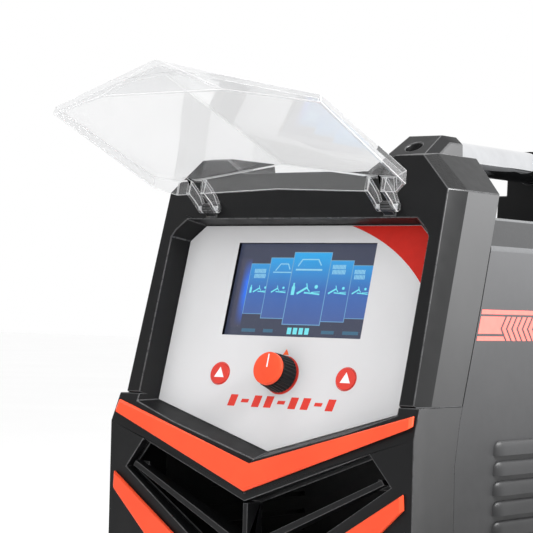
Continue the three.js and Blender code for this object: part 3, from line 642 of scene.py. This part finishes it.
def case_sheet():
    """The folded sheet before its louvres, cut along the seam at the front."""
    right = rounded_section()
    section = right + [(-x, z) for x, z in reversed(right[:-1])]
    points = []
    for x, z in section:
        points += [at(x, seam_y(z) + SEAM_GAP, z), at(x, CASE_REAR, z)]
    faces = [(2 * i, 2 * i + 1, 2 * i + 3, 2 * i + 2) for i in range(len(section) - 1)]
    mesh = mesh_of("case_cover_fine", points, faces)
    outward(mesh)
    near_top = at(0, 0, CASE_TOP - 4).z
    face_up(mesh, lambda face: face.calc_center_median().z > near_top)
    sheet = object_from("case_cover_fine", mesh)
    thicken(sheet, SHEET)
    return sheet


def louvres():
    """Side and height of every louvre, top to bottom, right side first."""
    for side in (1, -1):
        for i in range(LOUVRE_COUNT):
            yield side, LOUVRE_FIRST_Z - i * LOUVRE_PITCH


def louvre_slots():
    """Cutters for the openings that the hoods cover."""
    low, high, inset, reach = 2.4, 5.6, 3.0, 5.0
    y0, y1 = LOUVRE_FRONT_Y + inset, LOUVRE_FRONT_Y + LOUVRE_LENGTH - inset
    slots = []
    for side, z in louvres():
        outline = [(y0, z + low), (y1, z + low), (y1, z + high), (y0, z + high)]
        x0, x1 = sorted((side * (CASE_HALF_WIDTH - reach), side * (CASE_HALF_WIDTH + 1)))
        slots.append(prism("slot", outline, across_machine, x0, x1))
    return joined("slots", slots)


def louvre_row(side, z, t):
    """Outer and inner points round a hood's bulge, at the fraction t of its length."""
    around, round_end = 10, 7.0
    y = LOUVRE_FRONT_Y + LOUVRE_LENGTH * t
    end = min(t, 1 - t) * LOUVRE_LENGTH
    swell = math.sqrt(max(0.0, 1 - max(0.0, 1 - end / round_end) ** 2))
    outer, inner = [], []
    for j in range(around + 1):
        angle = math.pi / 2 * j / around
        depth = LOUVRE_DEPTH * swell * math.cos(angle) ** 0.8
        height = LOUVRE_HEIGHT * (0.62 + 0.38 * swell) * math.sin(angle) ** 0.9
        outer.append(at(side * (CASE_HALF_WIDTH - 0.05 + depth), y, z + height))
        wall = max(0.0, depth - LOUVRE_SHEET)
        lower = max(0.0, height - 0.9)
        inner.append(at(side * (CASE_HALF_WIDTH - 0.6 + wall), y, z + lower))
    return outer, inner


def louvre_hood(side, z):
    """One pressed hood: rounded along its length and at both ends, open underneath."""
    along = 40
    rows = [louvre_row(side, z, i / along) for i in range(along + 1)]
    row = len(rows[0][0])
    outer = [point for outside, inside in rows for point in outside]
    inner = [point for outside, inside in rows for point in inside]
    back = len(outer)
    faces = []
    for i in range(along):
        for a in range(i * row, i * row + row - 1):
            faces.append((a, a + 1, a + row + 1, a + row))
            faces.append((back + a, back + a + row, back + a + row + 1, back + a + 1))
        low, high = i * row, i * row + row - 1
        faces.append((low, low + row, back + low + row, back + low))
        faces.append((high, back + high, back + high + row, high + row))
    for i in (0, along):
        for a in range(i * row, i * row + row - 1):
            faces.append((a, back + a, back + a + 1, a + 1))
    mesh = mesh_of("louvre", outer + inner, faces)
    outward(mesh)
    return object_from("louvre", mesh)


def paint_case_shade(mesh):
    """Painted shade that darkens the shoulders over the fold, and a painted highlight, pale paint
    along the bends.
    """
    mesh.materials.append(CASE_SHOULDER_SHADE)
    mesh.materials.append(CASE_FOLD_HIGHLIGHT)
    shoulder, painted_highlight = 1, 2
    for polygon in mesh.polygons:
        height = (polygon.center.z - ORIGIN.z) / MM
        tilt = abs(polygon.normal.z)
        if CASE_FOLD - 0.2 < height < CASE_FOLD + 2.6 or 0.35 < tilt < 0.93:
            polygon.material_index = painted_highlight
        elif height > CASE_FOLD:
            polygon.material_index = shoulder


def case_cover():
    paint = MATERIALS["case_paint"]
    sheet = case_sheet()
    cut_away(sheet, louvre_slots())
    soften(sheet, 0, 2, 28, 20)
    finished(sheet, paint, "chassis", "case_paint", ("case_cover",))
    paint_case_shade(sheet.data)
    hoods = joined("case_louvres", [louvre_hood(side, z) for side, z in louvres()])
    soften(hoods, 0, 2, 28, 60)
    finished(hoods, paint, "chassis", "case_paint")


def decal_z(fraction):
    return DECAL_TOP - (DECAL_TOP - DECAL_BOTTOM) * fraction


def decal_front(fraction):
    return seam_y(decal_z(fraction)) + 2.2


def decal_bar(f0, f1, end_0, end_1):
    """A bar that starts along the seam; f0 and f1 are fractions down the stripe."""
    return [(decal_front(f0), decal_z(f0)), (end_0, decal_z(f0)),
            (end_1, decal_z(f1)), (decal_front(f1), decal_z(f1))]


def chevron_half(y0, y1, width, f0, f1):
    return [(y0, decal_z(f0)), (y0 + width, decal_z(f0)),
            (y1 + width, decal_z(f1)), (y1, decal_z(f1))]


def decal_outlines():
    """The stripe in y and z: a thin bar, a band, a lower bar, then the chevrons."""
    pitch, width, lean = 6.2, 4.0, 5.5
    band_top, band_fold, band_low, foot_top = 0.215, 0.61, 0.775, 0.86
    solid_end = decal_front(0.5) + 29
    band_back = solid_end - lean
    spring = lean / (1.0 - band_fold)
    outlines = [
        decal_bar(0.0, 0.14, DECAL_END, DECAL_END),
        decal_bar(band_top, band_fold, solid_end, band_back),
        decal_bar(band_fold, band_low, band_back, band_back + spring * (band_low - band_fold)),
        decal_bar(foot_top, 1.0, band_back + spring * (foot_top - band_fold), solid_end),
    ]
    y = solid_end + pitch - width
    while y + width < DECAL_END - 4:
        outlines.append(chevron_half(y, y - lean, width, band_top, band_fold))
        outlines.append(chevron_half(y - lean, y, width, band_fold, 1.0))
        y += pitch
    return outlines


def side_decal(name, side):
    def place(y, z, h):
        return at(side * (CASE_HALF_WIDTH + h), y, z)

    bars = [prism("decal", outline, place, 0.02, 0.1) for outline in decal_outlines()]
    finished(joined(name, bars), DECAL_INK, "chassis", "orange_trim")


# ------------------------------------------------------------------ control panel


def control_panel():
    """The silver panel; the cut edge round its display window is black."""
    panel = refined("control_panel", 0.12)
    panel.data.materials.append(MATERIALS["black_plastic"])
    near_x, near_s = (size / 2 + 1 for size in WINDOW)
    black = 1
    for polygon in panel.data.polygons:
        across = abs(polygon.normal.dot(NORMAL)) < 0.3
        offset = (polygon.center - ORIGIN) / MM
        near = abs(offset.x) < near_x and abs(offset.dot(UP_PANEL)) < near_s
        if across and near:
            polygon.material_index = black


def print_on_panel(name, outline, material):
    piece = prism(name, outline, on_panel, PRINT_LOW, PRINT_HIGH)
    return finished(piece, material, "chassis", "panel_film")


def corner_curve():
    """The panel's red corner: bounded by its top and side edges and a bulging curve."""
    top_start, side_end = (29.5, PANEL_TOP - 0.7), (PANEL_SIDE - 0.7, 0.0)
    control = (66.0, 27.0)
    curve = []
    steps = 24
    for i in range(steps + 1):
        t = i / steps
        a, b, c = (1 - t) ** 2, 2 * t * (1 - t), t * t
        curve.append((a * top_start[0] + b * control[0] + c * side_end[0],
                      a * top_start[1] + b * control[1] + c * side_end[1]))
    return curve + [(PANEL_SIDE - 0.7, 29.2), (76.4, PANEL_TOP - 0.7)]


def panel_mark():
    """Plain slanted dashes in place of a printed name."""
    bottom, top, slant, width = -71.2, -64.3, 1.7, 5.2
    dashes = []
    for i in range(9):
        x = -35 + i * 8.6
        low, high = (0.4, 0.8) if i % 3 == 1 else (0.0, 1.0)
        s0, s1 = (-68.8, -66.7) if i % 3 == 1 else (bottom, top)
        x0, x1 = x + slant * low, x + slant * high
        outline = [(x0, s0), (x0 + width, s0), (x1 + width, s1), (x1, s1)]
        dashes.append(prism("dash", outline, on_panel, PRINT_LOW, PRINT_HIGH))
    finished(joined("panel_mark", dashes), MARK_INK, "chassis", "panel_film")


def panel_prints():
    print_on_panel("corner_print", corner_curve(), RED_INK)
    print_on_panel("knob_ring_print", circle(0, KNOB_S, 11.55, 64), MARK_INK)
    pointer = [(-2.1, KNOB_S + 12.0), (2.1, KNOB_S + 12.0), (0, KNOB_S + 15.6)]
    print_on_panel("knob_pointer_print", pointer, ORANGE_INK)
    panel_mark()


def buttons():
    for side, x in (("right", BUTTON_X), ("left", -BUTTON_X)):
        node = "button_" + side
        centre = on_panel(x, BUTTON_S, 0)
        profile = [(0, -4), (7.6, -4), (7.6, -2.9), (6.4, -2.9), (6.4, 0.3), (6.2, 0.6),
                   (5.4, 0.68), (0, 0.7)]
        turned(node, profile, centre, NORMAL, 0)
        rim = [(6.58, 0.02), (7.0, 0.02), (7.0, 0.07), (6.58, 0.07), (6.58, 0.02)]
        border = lathe(node + "_border", rim, centre, NORMAL)
        finished(border, MARK_INK, "chassis", "panel_film")
        outline = [(x - 3.5, BUTTON_S - 2.4), (x + 3.5, BUTTON_S - 2.4), (x, BUTTON_S + 3.9)]
        arrow = prism(node + "_arrow", outline, on_panel, 0.6, 0.74)
        finished(arrow, WHITE_INK, node, "panel_film")


def ribbed_skirt():
    """The knob's side and top, from rings of radius, height and how deep the ribs are."""
    ribs, per_rib, rib_depth = 30, 6, 0.6
    count = ribs * per_rib
    rings = [(11.0, 1.6, 0.4), (11.1, 2.2, 1.0), (10.3, 11.0, 1.0), (10.0, 12.3, 0.3),
             (9.7, 12.6, 0.0), (0.0, 12.6, 0.0)]
    points, faces = [], []
    for radius, height, share in rings:
        for i in range(count):
            wave = 0.5 - 0.5 * math.cos(2 * math.pi * i / per_rib)
            r = max(0.0, radius - rib_depth * share * wave)
            angle = 2 * math.pi * i / count
            points.append(on_panel(r * math.cos(angle), KNOB_S + r * math.sin(angle), height))
    for k in range(len(rings) - 1):
        for i in range(count):
            j = (i + 1) % count
            faces.append((k * count + i, k * count + j, (k + 1) * count + j, (k + 1) * count + i))
    faces.append(tuple(range(count)))
    mesh = mesh_of("knob_fine", points, faces)
    outward(mesh, 0.001)
    return object_from("knob_fine", mesh)


def knob():
    """Ribbed skirt with a chamfered shoulder, orange cap and white pointer line."""
    skirt = ribbed_skirt()
    soften(skirt, 0, 2, 28, 40)
    finished(skirt, MATERIALS["black_plastic"], "knob", "black_plastic", ("knob",))
    cap = [(0, 12.9), (9.4, 12.9), (9.6, 13.1), (9.6, 15.2), (9.2, 15.8), (8.8, 16.0), (0, 15.93)]
    turned("knob_cap", cap, on_panel(0, KNOB_S, 0), NORMAL, 0)
    line = [(-0.4, KNOB_S + 0.5), (0.4, KNOB_S + 0.5), (0.4, KNOB_S + 8.6), (-0.4, KNOB_S + 8.6)]
    pointer = prism("knob_line", line, on_panel, 15.8, 15.995)
    finished(pointer, WHITE_INK, "knob", "orange_trim")


# ------------------------------------------------------------------ display picture

CARDS = [  # left, right, top, bottom as fractions of the window, and the layer
    (0.103, 0.300, 0.215, 0.755, 0),
    (0.243, 0.460, 0.150, 0.800, 1),
    (0.410, 0.680, 0.090, 0.860, 2),
    (0.640, 0.844, 0.175, 0.820, 1),
    (0.790, 0.993, 0.225, 0.780, 0),
]
ICONS = [  # left edge as a fraction of the window, size, layer, with a gas bottle
    (0.475, 0.17, 2, True),
    (0.150, 0.11, 0, True),
    (0.285, 0.11, 1, False),
    (0.700, 0.13, 1, False),
    (0.866, 0.115, 0, False),
]
LAYER_BASE = -2.72
LAYER_STEP = 0.1


def window_point(u, v):
    return (u - 0.5) * WINDOW[0], (0.5 - v) * WINDOW[1]


def layer_place(layer):
    def place(x, s, h):
        return on_panel(x, s, LAYER_BASE + LAYER_STEP * layer + h)

    return place


def patch(name, outline, layer, thickness=0.03):
    return prism(name, [window_point(u, v) for u, v in outline], layer_place(layer), 0.0, thickness)


def rectangle(u0, v0, u1, v1):
    return [(u0, v0), (u1, v0), (u1, v1), (u0, v1)]


def stroke(points, width_mm, layer):
    """A drawn line through window points, as one thin quad for each stretch."""
    pieces = []
    for (u0, v0), (u1, v1) in zip(points, points[1:]):
        start, end = Vector(window_point(u0, v0)), Vector(window_point(u1, v1))
        along = (end - start).normalized()
        across = Vector((-along.y, along.x)) * width_mm / 2
        start, end = start - along * width_mm * 0.3, end + along * width_mm * 0.3
        corners = [start + across, end + across, end - across, start - across]
        pieces.append(prism("stroke", [tuple(c) for c in corners], layer_place(layer), 0.03, 0.06))
    return pieces


def torch_icon(u, v, size, layer, bottle):
    """A generic welding pictogram: a torch over a work piece, with a gas bottle."""
    def point(a, b):
        return u + a * size, v + b * size * WINDOW[0] / WINDOW[1]

    def line(width, *spots):
        return stroke([point(a, b) for a, b in spots], width * size, layer)

    pieces = line(7.5, (0.02, 0.10), (0.40, -0.12))
    pieces += line(4.0, (0.36, -0.26), (0.42, -0.08), (0.52, 0.02))
    pieces += line(5.5, (0.32, 0.07), (0.62, 0.09), (0.95, 0.12))
    pieces += line(3.0, (0.62, 0.05), (0.95, 0.03))
    pieces.append(patch("dot", [point(a, b) for a, b in circle(0.78, -0.15, 0.07, 20)], layer, 0.06))
    if bottle:
        body = [(-0.25, 0.16), (-0.25, -0.12), (-0.21, -0.20), (-0.21, -0.28),
                (-0.15, -0.28), (-0.15, -0.20), (-0.11, -0.12), (-0.11, 0.16)]
        pieces.append(patch("bottle", [point(a, b) for a, b in body], layer, 0.06))
    return pieces


def display_cards():
    outlines, faces = [], []
    for left, right, top, bottom, layer in CARDS:
        corners = rectangle(left, top, right, bottom)
        faces.append(patch("card", corners, layer))
        outlines += stroke(corners + corners[:1], 0.35 + 0.08 * layer, layer)
    cards = joined("display_cards", faces)
    top_s, bottom_s = window_point(0, 0.12)[1], window_point(0, 0.84)[1]
    finished(cards, card_face(top_s, bottom_s), "chassis", "screen")
    finished(joined("display_outlines", outlines), PALE_LINE, "chassis", "screen")


def display_icons():
    icons = []
    for u, size, layer, bottle in ICONS:
        icons += torch_icon(u, 0.50, size, layer, bottle)
    finished(joined("display_icons", icons), CYAN_ICON, "chassis", "screen")
    curves = stroke([(0.450, 0.235), (0.475, 0.165), (0.590, 0.165), (0.615, 0.225)], 0.7, 2)
    curves += stroke([(0.440, 0.275), (0.625, 0.275)], 1.0, 2)
    curves += stroke([(0.290, 0.285), (0.320, 0.215), (0.375, 0.215), (0.392, 0.270)], 0.6, 1)
    curves += stroke([(0.275, 0.305), (0.405, 0.305)], 0.6, 1)
    finished(joined("display_curves", curves), LIGHT_LINE, "chassis", "screen")


def display_waves():
    """Two rows of short teeth on each of three cards."""
    teeth = []
    for u0, v0, columns, layer in ((0.135, 0.27, 9, 0), (0.700, 0.22, 10, 1), (0.860, 0.27, 8, 0)):
        for i in range(columns):
            u = u0 + 0.0095 * i
            upper = rectangle(u, v0, u + 0.006, v0 + 0.045)
            lower = rectangle(u + 0.003, v0 + 0.055, u + 0.009, v0 + 0.10)
            teeth += [patch("tooth", outline, layer, 0.06) for outline in (upper, lower)]
    finished(joined("display_waves", teeth), LIGHT_LINE, "chassis", "screen")


def display_captions():
    """Plain bars in place of the captions."""
    spans = ((0.12, 0.22), (0.28, 0.35), (0.70, 0.79), (0.85, 0.96))
    bars = [patch("caption", rectangle(u0, 0.915, u1, 0.95), 0) for u0, u1 in spans]
    finished(joined("display_captions", bars), DIM_BAR, "chassis", "screen")
    starts = [0.455 + i * 0.042 for i in range(4)]
    main = [patch("caption", rectangle(u, 0.893, u + 0.03, 0.962), 0) for u in starts]
    finished(joined("display_main_caption", main), CYAN_ICON, "chassis", "screen")


def display():
    display_cards()
    display_icons()
    display_waves()
    glow = rectangle(0.02, 0.15, 0.102, 0.90)
    finished(patch("display_side_glow", glow, 0), GLOW, "chassis", "screen")
    display_captions()


# ------------------------------------------------------------------ lid


def lid_sheet():
    """The lid's faceted sheet, worked out for the right half and mirrored."""
    rim = [(0, 5.3, 0), (56.9, 1.2, 0), (77.7, 0, 0), (88.7, 10.2, 0), (91.7, 105.5, 0),
           (41.8, 123.6, 0)]
    top = [(0, 6.7, 16.8), (58.2, 3.5, 9.8), (76.5, 3.2, 8.6), (89, 13, 7), (90.7, 106.0, 4.5),
           (40.1, 124, 8.4), (0, 135.3, 14.0), (0, 124.3, 12.3)]
    right = [on_lid(*p) for p in rim + top]
    left = [on_lid(-x, v, w) for x, v, w in rim + top]
    n = len(right)
    # The rim is 0 to 5, then root centre 6, root 7, shoulder 8, corner 9, side 10, free edge 11,
    # tip 12 and crown 13.
    half = [
        (0, 1, 7, 6), (1, 2, 8, 7), (2, 3, 9, 8), (3, 4, 10, 9), (4, 5, 11, 10),
        (6, 7, 13), (7, 8, 9, 13), (9, 10, 13), (10, 11, 13), (11, 12, 13),
    ]
    faces = half + [tuple(n + i for i in reversed(face)) for face in half]
    faces += [(5, n + 5, 12), (5, 12, 11), (n + 5, n + 11, n + 12)]
    mesh = mesh_of("lid_fine", right + left, faces)
    outward(mesh, 0.01)
    face_up(mesh, lambda face: len(face.verts) == 3)
    sheet = object_from("lid_fine", mesh)
    thicken(sheet, LID_WALL)
    return sheet


def on_lid_section(v, w, x):
    return on_lid(x, v, w)


def lid():
    """Clear faceted cover, seen from its hollow underside when it stands open."""
    cover = lid_sheet()
    notch = [(-4, -2), (9, -2), (9, 7.4), (-4, 7.4)]
    spans = ((59.3, 67.2), (-67.2, -59.3))
    notches = [prism("slot", notch, on_lid_section, x0, x1) for x0, x1 in spans]
    cut_away(cover, joined("lid_slots", notches))
    cover.data.materials.clear()
    highlight_clear_edges(cover, 0.28, 1, 12, 10)
    finished(cover, MATERIALS["clear_plastic"], "lid", "clear_plastic", ("lid",))
    lugs()


def highlight_clear_edges(obj, width_mm, segments, angle, smooth):
    """Clear plastic with painted highlights: pale, milky lines where its faces meet."""
    obj.data.materials.append(MATERIALS["clear_plastic"])
    obj.data.materials.append(CLEAR_EDGE_HIGHLIGHT)
    soften(obj, width_mm, segments, angle, smooth)
    obj.modifiers["edges"].material = 1


def lugs():
    """Two pairs of curved hinge arms that hang from the lid's root to its pins."""
    pin = (Vector(JOINTS["lid_hinge"]["pos_m"]) - ORIGIN) / MM
    high, low = [(on_lid(0, v, w) - ORIGIN) / MM for v, w in ((3.4, 8.6), (2.6, 0.2))]
    radius = 3.0
    outline = [(high.y, high.z), (pin.y - 5.5, pin.z + 11.0), (pin.y - 1.0, pin.z + 6.8)]
    steps = 12
    for i in range(steps + 1):
        angle = math.radians(62 - 200 * i / steps)
        outline.append((pin.y + radius * math.cos(angle), pin.z + radius * math.sin(angle)))
    outline += [(pin.y - 5.6, pin.z + 1.2), (pin.y - 8.6, pin.z + 3.8), (low.y, low.z)]
    arms = [prism("arm", outline, across_machine, x, x + 2.5) for x in (56.5, 67.5, -59.0, -70.0)]
    piece = joined("lid_arms", arms)
    highlight_clear_edges(piece, 0.4, 2, 20, 30)
    finished(piece, MATERIALS["clear_plastic"], "lid", "clear_plastic")


# ------------------------------------------------------------------ handle


def handle():
    low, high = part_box("handle_tube")
    half = (high[1] - low[1]) / MM / 2
    radius = (high[2] - low[2]) / MM / 2
    wall, lip = 1.6, 0.3
    bore = radius - wall
    profile = [(bore, -half), (radius - lip, -half), (radius, lip - half), (radius, half - lip),
               (radius - lip, half), (bore, half), (bore, -half)]
    turned("handle_tube", profile, middle("handle_tube"), (0, 1, 0), 0, 2, 128)
    # The supports' flanks take the shell's painted lit copy, lighter towards the top.
    flank, plinth_x = 2, 16 * MM
    for node in ("handle_front_support", "handle_rear_support"):
        mesh = refined(node, 0.7, 3).data
        mesh.materials.append(SHELL_SIDE)
        for polygon in mesh.polygons:
            if abs(polygon.normal.x) > 0.9 and abs(polygon.center.x) > plinth_x:
                polygon.material_index = flank
    refined("handle_bolt_front", 0.2, 2, BLACK_OXIDE)
    refined("handle_bolt_rear", 0.2, 2, BLACK_OXIDE)


# ------------------------------------------------------------------ connectors


def connectors():
    """The row of sockets low on the front: two welding, one gas and one for the torch switch."""
    seat, spread = -38.3, 20
    outwards = (0, -1, 0)
    z = (middle("gas_outlet").z - ORIGIN.z) / MM
    for side in ("right", "left"):
        centre = at(middle("socket_bezel_" + side).x / MM, seat, z)
        bezel = [(9.7, -24), (14.4, -24), (14.4, 0), (21, 0), (21, 3.6), (20.4, 4.6), (19, 5.7),
                 (17.5, 6), (11.0, 6), (9.7, 4.8), (9.7, -24)]
        turned("socket_bezel_" + side, bezel, centre, outwards, 0.15)
        contact = [(0, -14), (6.6, -14), (6.6, 4.1), (7.0, 4.5), (8.8, 4.5), (9.2, 4.1), (9.2, -26),
                   (5, -26), (5, -40), (0, -40)]
        turned("socket_contact_" + side, contact, centre, outwards, 0.1)
    outlet = [(3, -16), (6.5, -16), (6.5, 0), (9, 0), (9, 4), (5.5, 4), (5.5, 11.5), (5, 12),
              (3, 12), (3, -16)]
    turned("gas_outlet", outlet, at(-spread, seat, z), outwards, 0.15)
    remote = [(0, -12), (7.8, -12), (7.8, 0), (10.5, 0), (10.5, 2.6), (10.1, 3), (7.6, 3),
              (7.6, 4.7), (7.3, 5), (5.8, 5), (5.8, -2), (0, -2)]
    turned("remote_socket", remote, at(spread, seat, z), outwards, 0.1)
    pin = [(0, -2), (0.7, -2), (0.7, 2.6), (0.4, 3), (0, 3)]
    pins = []
    for i in range(5):
        angle = math.radians(90 + 72 * i)
        centre = at(spread + 3.4 * math.cos(angle), seat, z + 3.4 * math.sin(angle))
        pins.append(lathe("pin", pin, centre, outwards, 16))
    finished(joined("remote_pins", pins), MATERIALS["brass"], "chassis", "brass")


def rear_fittings():
    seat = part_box("rear_shell")[1][1] + 0.3 * MM
    barb = [(2.4, -14), (6, -14), (6, 0), (9, 0), (9, 4.6), (8.6, 5), (5, 5), (3.8, 9), (4.6, 10),
            (3.8, 14), (4.6, 15), (3.6, 19), (2.4, 19), (2.4, -14)]
    gland = [(5.5, -10), (10, -10), (10, 0), (13.5, 0), (13.5, 5.4), (12.9, 6), (11.5, 7), (11, 13),
             (9.6, 15.2), (8, 16), (5.5, 16), (5.5, -10)]
    for node, profile in (("gas_inlet", barb), ("cable_gland", gland)):
        centre = middle(node)
        centre.y = seat
        turned(node, profile, centre, (0, 1, 0), 0.12)
    refined("earth_bolt", 0.2)
    refined("rocker_frame", 0.4)
    refined("rocker", 0.5)
    wires = refined("fan_guard", 0)
    wires.modifiers.new("round", "SUBSURF").levels = 1
    refined("rear_shell", 0.9, 3)
    refined("fan_frame", 0.5)
    refined("fan_rotor", 0.3)


def feet():
    profile = [(0, 0.02), (9.2, 0.02), (10, 0.8), (12.8, 11.6), (13, 12.4), (0, 12.4)]
    for end in ("front", "rear"):
        for side in ("left", "right"):
            node = f"foot_{end}_{side}"
            centre = middle(node)
            centre.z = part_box(node)[0][2]
            turned(node, profile, centre, (0, 0, 1), 0)


# ------------------------------------------------------------------ floor, light, camera


def stage():
    mesh = mesh_of("floor", [(-12, -12, 0), (12, -12, 0), (12, 12, 0), (-12, 12, 0)], [(0, 1, 2, 3)])
    floor = object_from("floor", mesh)
    shader = Shader("floor_white", Roughness=0.85)
    shader.tint((0.975, 0.975, 0.975), 0.01, 400)
    floor.data.materials.append(shader.material)
    world = bpy.data.worlds.new("studio")
    world.use_nodes = True
    world.node_tree.nodes["Background"].inputs["Color"].default_value = (1, 1, 1, 1)
    world.node_tree.nodes["Background"].inputs["Strength"].default_value = 1.0
    bpy.context.scene.world = world


def softbox(name, target, offset, width, height, power, spread=180):
    """An area light at an offset in metres from its target, hidden from the camera."""
    light = bpy.data.lights.new(name, "AREA")
    light.shape = "RECTANGLE"
    light.size = width
    light.size_y = height
    light.energy = power
    light.spread = math.radians(spread)
    holder = bpy.data.objects.new(name, light)
    bpy.context.scene.collection.objects.link(holder)
    away = Vector(offset)
    holder.location = Vector(target) + away
    holder.rotation_mode = "QUATERNION"
    holder.rotation_quaternion = away.to_track_quat("Z", "Y")
    holder.visible_camera = False


def lights():
    side_top = at(CASE_HALF_WIDTH, 60, CASE_TOP)
    softbox("side_softbox", side_top, (0.46, 0.12, 0.30), 0.9, 0.15, 2.6, 60)
    softbox("top_softbox", side_top, (-0.2, 0.1, 1.3), 1.4, 1.0, 10)


def camera():
    """The view from 36 degrees round to the right of the front, level with the display."""
    azimuth, pitch, roll = math.radians(36.06), math.radians(1.173), math.radians(1.423)
    distance, right_shift, up_shift = 1.21817, 0.018455, -0.013344
    forward = Vector((-math.sin(azimuth) * math.cos(pitch), math.cos(azimuth) * math.cos(pitch),
                      math.sin(pitch)))
    level = forward.cross(Vector((0, 0, 1))).normalized()
    upright = level.cross(forward)
    right = math.cos(roll) * level + math.sin(roll) * upright
    up = -math.sin(roll) * level + math.cos(roll) * upright
    data = bpy.data.cameras.new("camera")
    data.sensor_width = 36.0
    data.lens = 141.65
    data.clip_start = 0.01
    data.clip_end = 100
    holder = bpy.data.objects.new("camera", data)
    bpy.context.scene.collection.objects.link(holder)
    place = ORIGIN - (distance * forward + right_shift * right + up_shift * up)
    turn = Matrix((right, up, -forward)).transposed().to_4x4()
    holder.matrix_world = Matrix.Translation(place) @ turn
    bpy.context.scene.camera = holder


# ------------------------------------------------------------------ assembly

camera()
stage()
lights()
front_shell()
case_cover()
side_decal("side_decal_right", 1)
side_decal("side_decal_left", -1)
control_panel()
refined("lcd_window", 0.1, 1, DISPLAY_GLASS)
panel_prints()
buttons()
knob()
display()
lid()
handle()
connectors()
rear_fittings()
feet()
for trim in ("chevron_trim", "trim_left", "trim_right"):
    refined(trim, 0.35, 3)
refined("intake_grille", 0.4)
refined("base_tray", 0.3)
PLAIN = [
    "lcd_module", "control_board", "encoder_body", "encoder_shaft", "button_switch_left",
    "button_switch_right", "power_board", "heatsink_input", "heatsink_output", "transformer",
    "output_inductor", "capacitor_1", "capacitor_2", "capacitor_3", "hf_unit", "gas_valve",
    "gas_hose", "lid_pin_left", "lid_pin_right",
]
for node in PLAIN:
    dark = BLACK_ANODISED if node.startswith("heatsink") else None
    refined(node, 0.2, 2, dark)

bpy.context.scene.view_settings.view_transform = "Standard"
